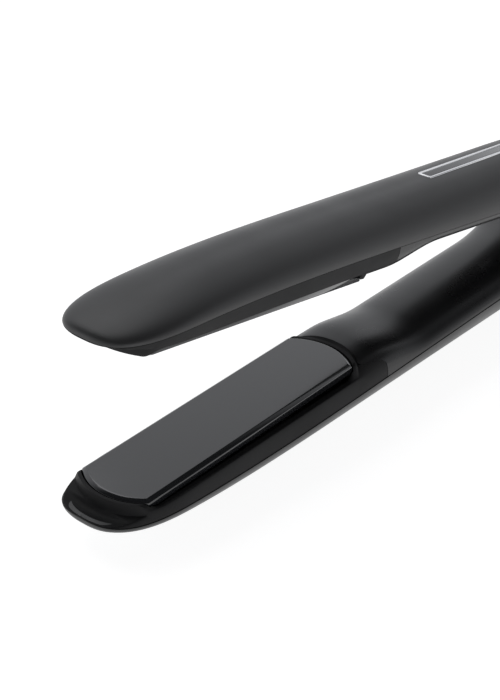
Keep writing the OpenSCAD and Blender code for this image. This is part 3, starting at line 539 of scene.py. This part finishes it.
def housing(arm):
    rear = [("joint", f) for f in np.linspace(0, 0.9, 5)]
    rear += [("rear", WALL_OUT + d) for d in (0.12, -0.05, -0.2, -0.4, -0.7, -1.1)]
    rear += [("rear", POCKET_R + d) for d in (0.35, 0.15, 0.04, 0)]
    rear += [("rear_in", POCKET_R - d) for d in (0, 0.5, 1.2, 2)]
    mid = [("mid", f) for f in np.linspace(0, 1, 34)]
    tip = [(k.replace("rear", "tip"), r) for k, r in rear[5:]][::-1]
    bill = [("bill", f) for f in 1 - (1 - np.linspace(0.03, 0.998, 34)) ** 1.6]
    plan = rear + mid[1:-1] + tip + bill
    half_n = SIDE_N + RIM_N + IN_N
    top, bottom = [], []
    for kind, v in plan:
        s = np.full(half_n, 190.0)
        for _ in range(6):
            y = np.array([columns(s[j])[j] for j in range(half_n)])
            if kind == "joint":
                s = mix(joint_line(y) + 0.1, arc(REAR_C, -1, WALL_OUT + 0.12, y), v)
            elif kind.startswith("rear"):
                s = arc(REAR_C, -1, v, y)
            elif kind.startswith("tip"):
                s = arc(TIP_C, 1, v, y)
            elif kind == "mid":
                s = mix(arc(REAR_C, -1, POCKET_R - 2, y), arc(TIP_C, 1, POCKET_R - 2, y), v)
            else:
                s = mix(arc(TIP_C, 1, WALL_OUT + 0.12, y), TIP, v)
        z = inner_surface(s, y)
        a = np.abs(y)
        if kind in ("rear", "tip", "rear_in", "tip_in"):
            crest = -(0.8 if kind.startswith("rear") else 0.6)
            roll = 1 - ease((a - 12.2) / 3.3)
            up_side = ease((WALL_OUT + 0.12 - v) / 0.85)
            lip = 0.12 * (1 - ease((v - POCKET_R) / 0.3))
            fade = up_side if kind in ("rear", "tip") else 1 - ease((POCKET_R - v) / 2.2)
            z = np.where(z < crest, mix(z, crest - lip, fade * roll), z)
        if kind in ("rear_in", "tip_in", "mid"):
            in_pocket = np.arange(half_n) >= SIDE_N + RIM_N
            floor = mix(CUSHION_SEAT, POCKET_FLOOR, ease((s - 158) / 3) * ease((222.5 - s) / 3))
            z = np.where(in_pocket, -np.minimum(floor, crown_depth(s) - WALL - 0.4), z)
        deepest = crown_depth(s) - WALL - 0.2
        under = -np.minimum(np.maximum(6.2, seam_depth(s) + 0.35), deepest)
        if kind in ("rear_in", "tip_in", "mid"):
            under = np.where(in_pocket, -np.minimum(POCKET_UNDER, deepest), under)
        zb = np.minimum(z - 0.2, under)
        yb = np.minimum(y, np.maximum(half_width(s) - WALL - 0.35, 0.02))
        zb[0] = z[0] - 0.02
        top.append(in_arm(arm, mirrored(s), mirrored(y, -1), mirrored(z)))
        bottom.append(in_arm(arm, mirrored(s), mirrored(yb, -1), mirrored(zb)))
    faces = sheets(len(plan), 2 * half_n - 1)
    obj = solid(arm + "_plate_housing_moulding", np.concatenate(top + bottom), faces, 38)
    obj.data.materials.append(HOUSING_PLASTIC)
    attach(obj, arm + "_arm")
    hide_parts(arm + "_plate_housing")
    return obj


housing("lower")
housing("upper")

# ---------------------------------------------------------------- handle covers
# A satin black moulding closes the inner side of each handle from the hinge to the plate housing.
# Two screws at the hinge end and the lip at the joint hold it down; it has the pocket of the arm spring.
COVER_SATIN = finish("satin_cover_plastic", (0.007, 0.007, 0.0075), 0.3, 0.04, 0.02, 5200, 0.03, 0.4,
                      Specular_IOR_Level=0.4)
COVER_REAR, COVER_D = 11.0, 3.1
SPRING_S, CUP_R, CUP_FLOOR = 28.0, 5.4, 7.2
SCREW_S, SCREW_Y, WELL_R, WELL_FLOOR = 20, 8, 2.6, 4.6
BUTTON_GAP = 0.15
BUTTONS = {"power_button": (46.0, 3.4), "temp_down_button": (57.0, 2.7), "temp_up_button": (65.0, 2.7)}


def merge(parts):
    """Puts the meshes of several objects into the first, keeping every corner's normal and material."""
    first = parts[0]
    with bpy.context.temp_override(active_object=first, object=first, selected_objects=parts,
                                   selected_editable_objects=parts):
        bpy.ops.object.join()
    return first


def cover(arm, button_holes):
    half_n = 34
    near_edge = 1 - np.array([0, 0.004, 0.015, 0.035, 0.06, 0.1, 0.15, 0.21])
    across = np.concatenate([near_edge, np.linspace(0.73, 0, 26)])
    fractions = np.concatenate([np.linspace(0, 0.9, 64), np.linspace(0.915, 1, 16)])
    top, bottom = [], []
    for f in fractions:
        s = np.full(half_n, 80.0)
        for _ in range(3):
            y = across * (half_width(s) - SEAM_GAP)
            s = mix(COVER_REAR, joint_line(y) - 0.1, f)
        z = inner_surface(s, y)
        top.append(in_arm(arm, mirrored(s), mirrored(y, -1), mirrored(z)))
        yb = y * (1 - WALL / (half_width(s) - SEAM_GAP))
        drop = WALL * np.sqrt(clamp01(1 - across ** 2)) + 0.02
        bottom.append(in_arm(arm, mirrored(s), mirrored(yb, -1), mirrored(z - drop)))
    faces = sheets(len(fractions), 2 * half_n - 1)
    obj = solid(arm + "_handle_cover_moulding", np.concatenate(top + bottom), faces, 38)
    holes = [((SPRING_S, 0, 0), CUP_R)] + [((SCREW_S, SCREW_Y * k, 0), WELL_R) for k in (-1, 1)]
    if button_holes:
        holes += [((s, 0, 0), r + BUTTON_GAP) for s, r in BUTTONS.values()]
    cut(obj, [drum(arm, centre, r, -12, 3) for centre, r in holes], 38)
    # The spring pocket and the two screw wells hang under the holes
    parts = [obj]
    wells = [((SPRING_S, 0, 0), CUP_R, -CUP_FLOOR, 1.3, -COVER_D)]
    wells += [((SCREW_S, SCREW_Y * k, 0), WELL_R, -WELL_FLOOR, 0.8, 0.5 - WELL_FLOOR) for k in (1, -1)]
    for centre, r, deep, wall, rise in wells:
        outside = r + wall
        p, f = lathe(arm, [(0.01, deep - 1.2), (outside, deep - 1.2), (outside, rise), (r, rise), (r, deep),
                           (0.01, deep)], centre)
        parts.append(solid("well", p, f))
    merge(parts)
    obj.data.materials.clear()
    obj.data.materials.append(COVER_SATIN)
    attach(obj, arm + "_arm")
    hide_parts(arm + "_handle_cover")
    return obj


cover("lower", False)
cover("upper", True)

# ---------------------------------------------------------------- heated plates
# Two ground aluminium extrusions with a dark glossy ceramic coating, bevelled all round.
# Each floats on silicone cushions in its housing pocket.
CERAMIC_COATING = finish("ceramic_coating", (0.012, 0.0125, 0.014), 0.12, 0.02, 0.02, 900, 0.006, 1.0,
                         Coat_Weight=0.6, Coat_Roughness=0.04)
PLATE_SCREWS = (PLATE_REAR + 8.5, PLATE_REAR + PLATE_LEN - 12)


def plate_ring(d, z, n_arc=40):
    """One outline of the plate, offset outwards by d from the edge of its flat face."""
    half, r = PLATE_HALF + d, BOW_R + d
    a = math.asin(half / r)
    out = []
    for c, sign in ((TIP_C, 1), (REAR_C, -1)):
        for k in range(n_arc + 1):
            t = mix(-a, a, k / n_arc)
            out.append((c + sign * r * math.cos(t), sign * r * math.sin(t), z))
    return out


def block(arm, s0, s1, y0, y1, z0, z1):
    pts = np.array([(s, y, z) for s in (s0, s1) for y in (y0, y1) for z in (z0, z1)], float)
    return solid("block", in_arm(arm, *pts.T), [(0, 1, 3, 2), (4, 6, 7, 5), (0, 4, 5, 1), (2, 3, 7, 6),
                                                (0, 2, 6, 4), (1, 5, 7, 3)])


def plate(arm):
    gap = 0.05
    profile = [(-0.25, 0), (-0.06, -0.005), (0.06, -0.05)]
    profile += [(1.0, -0.75), (1.09, -0.83), (1.14, -0.93), (1.15, -1.05), (1.15, -2.9), (1.05, -3.0)]
    rings = [plate_ring(d, z - gap) for d, z in profile]
    pts = np.array([p for r in rings for p in r])
    obj = solid(arm + "_ceramic_plate", in_arm(arm, *pts.T), stack(len(rings), len(rings[0])), 50)
    # The rails that hold the heater, and the two screw bosses, under the plate
    parts = [obj]
    for y0, y1 in ((-6.3, -5.3), (5.3, 6.3)):
        parts.append(block(arm, PLATE_REAR + 16, PLATE_REAR + PLATE_LEN - 13, y0, y1, -5.0, -3.0))
    for s in PLATE_SCREWS:
        boss, bf = lathe(arm, [(1.25, -6.1), (2.7, -6.1), (2.7, -3.0), (1.25, -3.0)], (s, 0, 0), steps=32)
        parts.append(solid("boss", boss, bf))
    merge(parts)
    obj.data.materials.clear()
    obj.data.materials.append(CERAMIC_COATING)
    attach(obj, arm + "_floating_plate")
    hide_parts(arm + "_plate")


plate("lower")
plate("upper")

# ---------------------------------------------------------------- heater, clip, sensors and cushions
# Under each plate a white alumina heater strip lies between the rails, pressed up by a steel clip,
# with a thermistor and a thermal cut-out beside it. Four silicone rings carry the plate.
ALUMINA = finish("alumina_strip", (0.82, 0.8, 0.76), 0.55, 0.05, 0.1, 6000, 0.05)
SPRING_STEEL = finish("spring_steel", (0.55, 0.55, 0.57), 0.28, 0.06, 0.03, 9000, 0.04, Metallic=1.0)
SENSOR_BEAD = finish("sensor_glass", (0.62, 0.56, 0.42), 0.2, 0.04, 0.05, 4000, 0.03)
SILICONE = finish("silicone_rubber", (0.022, 0.022, 0.023), 0.6, 0.05, 0.12, 3500, 0.08)


def repaint(material, *nodes):
    """Gives CAD nodes that keep their own shape a finished material."""
    for n in nodes:
        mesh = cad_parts[n].data
        mesh.materials.clear()
        mesh.materials.append(material)


for arm in ("lower", "upper"):
    repaint(ALUMINA, arm + "_heater")
    repaint(SPRING_STEEL, arm + "_heater_clip")
    repaint(SENSOR_BEAD, arm + "_heat_sensors")

CUSHION_FLOOR, CUSHION_TOP = -7.18, -3.07


def arm_direction(arm, s, z):
    """A direction of one arm's own frame, in the part's frame."""
    tip, root = (in_arm(arm, np.array([v * s]), np.array([0.0]), np.array([v * z]))[0] for v in (1.0, 0.0))
    return tuple((tip - root) * 1000)


for arm in ("lower", "upper"):
    rings = []
    h = CUSHION_TOP - CUSHION_FLOOR
    profile = [(r, CUSHION_FLOOR + d) for r, d in ((1.2, 0.2), (1.4, 0), (2.8, 0), (3.0, 0.25), (2.75, h * 0.35),
                                                   (2.75, h * 0.65))]
    profile += [(r, CUSHION_TOP - d) for r, d in ((3.0, 0.25), (2.8, 0), (1.4, 0), (1.2, 0.2))]
    for s in (PLATE_REAR + 6.5, PLATE_REAR + PLATE_LEN - 6.5):
        for y in (-7.2, 7.2):
            p, f = lathe(arm, profile, (s, y, 0), steps=40)
            rings.append(solid("ring", p, f, 50))
    merge(rings)
    rings[0].name = arm + "_silicone_cushions"
    rings[0].data.materials.append(SILICONE)
    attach(rings[0], arm + "_arm")
    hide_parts(arm + "_cushions")
    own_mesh(rings[0])

# ---------------------------------------------------------------- hinge
# Glass-filled nylon frames in both arms meet in three knuckles on a ground steel pin.
# A gloss black cap with a shallow dish closes each end of the pin.
NYLON = finish("glass_filled_nylon", (0.03, 0.03, 0.031), 0.5, 0.05, 0.05, 3000, 0.15)
GROUND_STEEL = finish("ground_steel", (0.6, 0.6, 0.62), 0.22, 0.05, 0.02, 9000, 0.03, Metallic=1.0)
CAP_GLOSS = finish("cap_gloss_plastic", (0.014, 0.014, 0.015), 0.18, 0.04, 0.02, 6000, 0.015)
repaint(NYLON, "lower_hinge_frame", "upper_hinge_frame")
repaint(GROUND_STEEL, "hinge_pin")
HUB_FACE = 17.0
for name, k in (("left", 1), ("right", -1)):
    profile = [(0.02, HUB_FACE - 1.15), (6.3, HUB_FACE - 1.15), (6.5, HUB_FACE - 0.95), (6.5, HUB_FACE + 0.15),
               (6.44, HUB_FACE + 0.28), (6.3, HUB_FACE + 0.35), (5.35, HUB_FACE + 0.35), (5.2, HUB_FACE + 0.27),
               (5.1, HUB_FACE + 0.14), (4.8, HUB_FACE + 0.1), (2.0, HUB_FACE + 0.06), (0.02, HUB_FACE + 0.05)]
    p, f = lathe("lower", [(r, k * h) for r, h in profile], (0, 0, 0), "y", steps=128)
    cap = solid("hinge_cap_disc_" + name, p, f, 40)
    cap.data.materials.append(CAP_GLOSS)
    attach(cap, "lower_arm")
    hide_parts("hinge_cap_" + name)

# ---------------------------------------------------------------- arm spring
# A coil of bright spring wire stands in the pockets of the two handle covers and opens the arms.
# It is drawn as an even coil, as long as the arms' opening makes it.
SPRING_R, WIRE_R = 4.0, 0.45
SPRING_LEN = 2 * (SPRING_S * math.sin(OPEN / 2) + CUP_FLOOR * math.cos(OPEN / 2)) - 0.3


def nodes_tree(name, inputs):
    """A geometry tree with named number inputs, its input and output nodes, and a way to add nodes."""
    tree = bpy.data.node_groups.new(name, "GeometryNodeTree")
    tree.interface.new_socket("Geometry", in_out="INPUT", socket_type="NodeSocketGeometry")
    for label, value in inputs.items():
        kind = "NodeSocketVector" if isinstance(value, tuple) else "NodeSocketFloat"
        tree.interface.new_socket(label, in_out="INPUT", socket_type=kind).default_value = value
    tree.interface.new_socket("Geometry", in_out="OUTPUT", socket_type="NodeSocketGeometry")
    return tree, tree.nodes.new("NodeGroupInput"), tree.nodes.new("NodeGroupOutput")


def grow(name, tree, values, mesh=None):
    """Runs a geometry tree on a mesh with the given input values and returns the plain mesh object."""
    host = bpy.data.objects.new(name, mesh or bpy.data.meshes.new(name))
    scene.collection.objects.link(host)
    m = host.modifiers.new("grow", "NODES")
    m.node_group = tree
    for item in tree.interface.items_tree:
        if item.item_type == "SOCKET" and item.in_out == "INPUT" and item.name in values:
            m[item.identifier] = values[item.name]
    done = bpy.data.meshes.new_from_object(host.evaluated_get(bpy.context.evaluated_depsgraph_get()))
    host.modifiers.clear()
    host.data = done
    done.name = name
    return host


def spring_tree():
    t, gi, go = nodes_tree("coil_spring", {"Turns": 5.75, "Radius": 0.004, "Wire": 0.00045, "Length": 0.019})
    spiral, ring, tube, paint, real = (t.nodes.new("GeometryNode" + k) for k in (
        "CurveSpiral", "CurvePrimitiveCircle", "CurveToMesh", "SetMaterial", "RealizeInstances"))
    preset(spiral, Resolution=40)
    preset(ring, Resolution=12)
    preset(tube, Fill_Caps=True)
    preset(paint, Material=SPRING_STEEL)
    link(t, (gi, "Turns", spiral, "Rotations"), (gi, "Radius", spiral, "Start Radius"),
         (gi, "Radius", spiral, "End Radius"), (gi, "Length", spiral, "Height"), (gi, "Wire", ring, "Radius"),
         (spiral, "Curve", tube, "Curve"), (ring, "Curve", tube, "Profile Curve"),
         (tube, "Mesh", real, "Geometry"), (real, "Geometry", paint, "Geometry"),
         (paint, "Geometry", go, "Geometry"))
    return t


spring = grow("arm_spring_coil", spring_tree(), {"Turns": 5.75, "Radius": SPRING_R / 1000, "Wire": WIRE_R / 1000,
                                                 "Length": (SPRING_LEN - 2 * WIRE_R) / 1000})
co = np.array([v.co[:] for v in spring.data.vertices]) * 1000
lean = OPEN / 2
rise = co[:, 2] + WIRE_R + 0.15
up_spring = np.stack([SPRING_S + co[:, 0] * math.cos(lean) - rise * math.sin(lean), co[:, 1],
                      -CUP_FLOOR + co[:, 0] * math.sin(lean) + rise * math.cos(lean)], -1)
spring.data.vertices.foreach_set("co", in_arm("lower", *up_spring.T).ravel())
spring.data.polygons.foreach_set("use_smooth", [True] * len(spring.data.polygons))
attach(spring, "lower_arm")
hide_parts("arm_spring")
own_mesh(spring)

# ---------------------------------------------------------------- screws
# Small zinc-plated pan-head screws with a cross recess: they hold the covers, plates and boards.
# All are the same turned shape in different sizes.
ZINC = finish("zinc_plated_steel", (0.5, 0.51, 0.53), 0.3, 0.08, 0.05, 7000, 0.05, Metallic=1.0)


def screw_tree():
    """One screw on each point of the input mesh: its head's top on the point, facing along the Facing input."""
    t, gi, go = nodes_tree("cross_screw", {"Shank": 0.001, "Length": 0.008, "Head": 0.0024, "Height": 0.001,
                                           "Facing": (0.0, 0.0, 1.0)})
    add = t.nodes.new
    shank, head, bar_a, bar_b, recess, join, place, align, real, paint, lift, drop = (add(k) for k in (
        "GeometryNodeMeshCylinder", "GeometryNodeMeshCylinder", "GeometryNodeMeshCube", "GeometryNodeMeshCube",
        "GeometryNodeMeshBoolean", "GeometryNodeJoinGeometry", "GeometryNodeInstanceOnPoints",
        "FunctionNodeAlignRotationToVector", "GeometryNodeRealizeInstances", "GeometryNodeSetMaterial",
        "GeometryNodeTransform", "GeometryNodeTransform"))

    def wire(value, socket):
        if isinstance(value, (int, float)):
            socket.default_value = value
        else:
            t.links.new(value, socket)

    def maths(op, a, b):
        m = add("ShaderNodeMath")
        m.operation = op
        wire(a, m.inputs[0])
        wire(b, m.inputs[1])
        return m.outputs[0]

    def vector(x, y, z):
        c = add("ShaderNodeCombineXYZ")
        for i, v in enumerate((x, y, z)):
            wire(v, c.inputs[i])
        return c.outputs[0]

    shank.inputs["Vertices"].default_value, head.inputs["Vertices"].default_value = 24, 40
    height = gi.outputs["Height"]
    wire(gi.outputs["Shank"], shank.inputs["Radius"])
    wire(gi.outputs["Length"], shank.inputs["Depth"])
    wire(gi.outputs["Head"], head.inputs["Radius"])
    wire(height, head.inputs["Depth"])
    long_bar, thin_bar = (maths("MULTIPLY", gi.outputs["Head"], k) for k in (1.25, 0.24))
    wire(vector(long_bar, thin_bar, height), bar_a.inputs["Size"])
    wire(vector(thin_bar, long_bar, height), bar_b.inputs["Size"])
    wire(head.outputs["Mesh"], lift.inputs["Geometry"])
    wire(vector(0, 0, maths("MULTIPLY", height, -0.5)), lift.inputs["Translation"])
    recess.operation = "DIFFERENCE"
    wire(lift.outputs["Geometry"], recess.inputs["Mesh 1"])
    for bar in (bar_a, bar_b):
        wire(bar.outputs["Mesh"], recess.inputs["Mesh 2"])
    down = maths("ADD", maths("MULTIPLY", gi.outputs["Length"], 0.5), maths("MULTIPLY", height, 0.95))
    wire(shank.outputs["Mesh"], drop.inputs["Geometry"])
    wire(vector(0, 0, maths("MULTIPLY", down, -1)), drop.inputs["Translation"])
    wire(recess.outputs["Mesh"], join.inputs["Geometry"])
    wire(drop.outputs["Geometry"], join.inputs["Geometry"])
    align.axis = "Z"
    wire(gi.outputs["Facing"], align.inputs["Vector"])
    wire(gi.outputs["Geometry"], place.inputs["Points"])
    wire(join.outputs["Geometry"], place.inputs["Instance"])
    wire(align.outputs["Rotation"], place.inputs["Rotation"])
    wire(place.outputs["Instances"], real.inputs["Geometry"])
    paint.inputs["Material"].default_value = ZINC
    wire(real.outputs["Geometry"], paint.inputs["Geometry"])
    wire(paint.outputs["Geometry"], go.inputs["Geometry"])
    return t


SCREW = screw_tree()


def screws(name, node, arm, heads, facing, shank, length, head, height):
    """Screws of one size in one arm: the middles of their head tops as arm points, all facing one way."""
    direction = Vector(arm_direction(arm, *facing)).normalized()
    seats = bpy.data.meshes.new(name)
    seats.from_pydata([tuple(in_arm(arm, *(np.array([float(v)]) for v in h))[0]) for h in heads], [], [])
    obj = grow(name, SCREW, {"Shank": shank / 1000, "Length": length / 1000, "Head": head / 1000,
                             "Height": height / 1000, "Facing": tuple(direction)}, seats)
    obj.data.polygons.foreach_set("use_smooth", [True] * len(obj.data.polygons))
    obj.data.set_sharp_from_angle(angle=math.radians(35))
    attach(obj, arm + "_arm")
    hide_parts(node)


BOARD_TOP, BOARD_S = -12.4, (JOINT - 65, JOINT - 15)
TRIM_FRONT = 99.4


def on_crown(a, y, b):
    """A point set out from the crown at the trim's front end, given in the arm's own frame."""
    c, d = math.cos(TILT), math.sin(TILT)
    return (TRIM_FRONT + a * c - b * d, y, -(CROWN_DEEP - CROWN_TILT * (TRIM_FRONT - CROWN_S)) + a * d + b * c)


for arm in ("lower", "upper"):
    screws(arm + "_cover_screw_set", arm + "_cover_screws", arm,
           [(SCREW_S, y * SCREW_Y, -3.5) for y in (-1, 1)], (0, 1), 1.05, 8.44, 2.4, 1.06)
    screws(arm + "_plate_screw_set", arm + "_plate_screws", arm, [(s, 0, -9.85) for s in PLATE_SCREWS],
           (0, -1), 1.2, 5.24, 2.5, 0.7)
screws("board_screw_set", "board_screws", "lower",
       [(s, y * 8, BOARD_TOP + 1) for s in (BOARD_S[0] + 6, BOARD_S[1] - 6) for y in (-1, 1)],
       (0, 1), 0.85, 5.0, 1.9, 0.95)
screws("indicator_screw_set", "indicator_screws", "upper", [on_crown(s, 0, WALL + 3.4) for s in (-41, -19)],
       (-math.sin(TILT), math.cos(TILT)), 0.95, 2.45, 1.9, 0.86)

# ---------------------------------------------------------------- circuit boards
# Glass-epoxy boards under green lacquer with printed copper tracks, and the parts soldered to them.
# The power board is screwed into the lower shell, the control board hangs under the upper cover.


def board_lacquer():
    """Green lacquer over etched tracks: a grid of fine lines shows lighter where copper lies below."""
    m = finish("board_lacquer", (0.012, 0.085, 0.035), 0.28, 0.05, 0.05, 5000, 0.05)
    t = m.node_tree
    place, bricks, tint = (t.nodes.new("ShaderNode" + k) for k in ("TexCoord", "TexBrick", "Mix"))
    preset(bricks, Scale=260, Mortar_Size=0.06, Color1=(0, 0, 0, 1), Color2=(0, 0, 0, 1), Mortar=(1, 1, 1, 1))
    tint.data_type = "RGBA"
    preset(tint, B=(0.03, 0.17, 0.06, 1))
    marks = next(n for n in t.nodes if n.bl_idname == "ShaderNodeGroup" and n.node_tree == MARKS)
    link(t, (place, "Object", bricks, "Vector"), (bricks, "Color", tint, "Factor"), (marks, "Colour", tint, "A"),
         (tint, "Result", t.nodes["Principled BSDF"], "Base Color"))
    return m


repaint(board_lacquer(), "power_board", "control_board", "indicator_board")
repaint(finish("capacitor_sleeve", (0.03, 0.05, 0.16), 0.35, 0.04, 0.06), "filter_capacitor")
repaint(finish("epoxy_package", (0.018, 0.018, 0.019), 0.55, 0.04, 0.06), "power_triac", "tact_switches")
repaint(finish("terminal_nylon", (0.6, 0.58, 0.5), 0.5, 0.04, 0.08), "lead_terminal")
repaint(finish("diffused_lens", (0.75, 0.75, 0.7), 0.3, 0.04, 0.04), "indicator_leds")
for name, colour, rough, node in (("phosphor_bronze", (0.62, 0.36, 0.16), 0.3, "brush_contacts"),
                                  ("brass", (0.72, 0.52, 0.2), 0.25, "slip_rings")):
    repaint(finish(name, colour, rough, 0.06, 0.05, 8000, 0.04, Metallic=1.0), node)
repaint(SPRING_STEEL, "swivel_clip")

# ---------------------------------------------------------------- buttons
# Three round push buttons on the inner side of the upper handle: a metallised power button
# and two black ones for more and less heat, each with a moulded flange and a plunger below.
BUTTON_METAL = finish("metallised_plastic", (0.55, 0.55, 0.57), 0.3, 0.05, 0.04, 6000, 0.04, Metallic=1.0)
BUTTON_BLACK = finish("button_plastic", (0.03, 0.03, 0.031), 0.38, 0.04, 0.04, 5000, 0.08)
FLANGE_TOP, PLUNGER_END, MARK = -5.25, -6.3, 0.14


def button(name, proud, material, sign):
    s, r = BUTTONS[name]
    top = -COVER_D + proud
    profile = [(0.02, PLUNGER_END), (1.2, PLUNGER_END), (1.2, FLANGE_TOP - 0.9), (r + 1, FLANGE_TOP - 0.9),
               (r + 1, FLANGE_TOP), (r, FLANGE_TOP), (r, top - 0.32), (r - 0.1, top - 0.12), (r - 0.32, top),
               (0.02, top - 0.03)]
    p, f = lathe("upper", profile, (s, 0, 0), steps=96)
    piece = solid(name + "_moulding", p, f, 30)
    cutters = []
    if sign == "ring":
        ring = [(1.3, top - MARK), (1.3, top + 1), (1.62, top + 1), (1.62, top - MARK)]
        p, f = lathe("upper", ring, (s, 0, 0), steps=64)
        cutters += [solid("cutter", p, f), block("upper", s + 0.5, s + 2.1, -0.17, 0.17, top - MARK, top + 1)]
    else:
        cutters.append(block("upper", s - 0.17, s + 0.17, -1.2, 1.2, top - MARK, top + 1))
        if sign == "plus":
            cutters.append(block("upper", s - 1.2, s + 1.2, -0.17, 0.17, top - MARK, top + 1))
    for c in cutters:
        cut(piece, [c], 30)
    piece.data.materials.append(material)
    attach(piece, name)
    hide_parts(name)


button("power_button", 0.35, BUTTON_METAL, "ring")
button("temp_down_button", 0.3, BUTTON_BLACK, "minus")
button("temp_up_button", 0.3, BUTTON_BLACK, "plus")

# ---------------------------------------------------------------- trim strip
# A long chromed bezel let into the crown of the upper shell, with bevelled corners and rolled edges.
# A smoke-tinted gloss inlay lies inside it and carries the light of three lamps through a slot.
TRIM_W, TRIM_LEN, TRIM_CORNER = 5.4, 60.0, 0.6
CHROME = finish("chromed_plastic", (0.8, 0.8, 0.81), 0.1, 0.03, 0.02, 3000, 0.004, Metallic=1.0)
SMOKE = finish("smoke_gloss_plastic", (0.03, 0.03, 0.032), 0.12, 0.03, 0.02, 7000, 0.01, Coat_Weight=0.4)


def strip_loop(inset, b):
    h, l, c = TRIM_W / 2 - inset, TRIM_LEN, TRIM_CORNER
    plan = [(-l + inset, -h + c), (-l + inset + c, -h), (-inset - c, -h), (-inset, -h + c),
            (-inset, h - c), (-inset - c, h), (-l + inset + c, h), (-l + inset, h - c)]
    return [on_crown(x, y, b) for x, y in plan]


def strip_solid(name, loops, sharp=30):
    """A closed strip from stacked corner loops, its first and last loop filled."""
    pts = np.array([q for inset, b in loops for q in strip_loop(inset, b)])
    return solid(name, in_arm("upper", *pts.T), stack(len(loops), 8), sharp)


def light_slot(half, r, b0, b1):
    arc_pts = [(x0 + r * math.cos(math.radians(a)), r * math.sin(math.radians(a)))
               for x0, start in ((half - r, -90), (r - half, 90)) for a in range(start, start + 181, 15)]
    pts = np.array([on_crown(-TRIM_LEN / 2 + x, y, b) for b in (b0, b1) for x, y in arc_pts])
    return solid("light_slot", in_arm("upper", *pts.T), stack(2, len(arc_pts)))


bezel = strip_solid("trim_bezel_frame", [
    (0, 0.85), (0, -0.08), (0.06, -0.2), (0.18, -0.28), (0.32, -0.3), (0.6, -0.3), (0.74, -0.27), (0.85, -0.18),
    (0.9, -0.05), (0.9, 0.45)], 50)
cut(bezel, [light_slot(8, 1, -2, 3)], 50)
bezel.data.materials.append(CHROME)
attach(bezel, "upper_arm")
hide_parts("trim_bezel")
inlay = strip_solid("trim_inlay_strip", [(1, 0.4), (1, -0.02), (1.03, -0.07), (1.12, -0.1)], 60)
merge([inlay, light_slot(7.9, 0.9, 0.38, 1.6)])
inlay.data.materials.append(SMOKE)
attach(inlay, "upper_arm")
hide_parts("trim_inlay")

# ---------------------------------------------------------------- cord swivel
# A ribbed sleeve of tough rubbery plastic that turns in the rear wall of the lower shell.
# A steel clip and two brass slip rings sit on it inside the handle.
GLAND = finish("gland_plastic", (0.02, 0.02, 0.021), 0.52, 0.05, 0.06, 3600, 0.1)
BORE, SLEEVE, BACK = 3.3, 5.0, -REAR
profile = [(BORE, BACK - 12), (BORE, -11.4), (SLEEVE, -11.4), (SLEEVE, -16.3), (SLEEVE - 0.7, -16.3),
           (SLEEVE - 0.7, -17.3), (SLEEVE, -17.3), (SLEEVE, BACK - 0.2), (SLEEVE + 1.35, BACK - 0.2),
           (SLEEVE + 1.6, BACK - 0.45), (SLEEVE + 1.6, BACK - 2.6), (SLEEVE + 1.45, BACK - 2.9),
           (SLEEVE + 1.2, BACK - 3)]
for k in range(5):
    x = BACK - 3.4 - k * 1.75
    r = SLEEVE - 0.6 + (x - BACK + 12) / 9 - 0.02
    profile += [(r - 0.55, x + 0.25), (r - 0.55, x - 0.25), (r - 0.1, x - 0.5), (r - 0.1, x - 1.2),
                (r - 0.5, x - 1.45)]
profile = [q for q in profile if q[1] > BACK - 12 or q[0] == BORE]
profile += [(SLEEVE - 0.75, BACK - 11.85), (SLEEVE - 0.95, BACK - 12)]
p, f = lathe("lower", profile, (0, 0, -INLET), "x", steps=96)
gland = solid("swivel_sleeve", p, f, 35)
gland.data.materials.append(GLAND)
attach(gland, "cord_swivel")
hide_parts("swivel_gland")
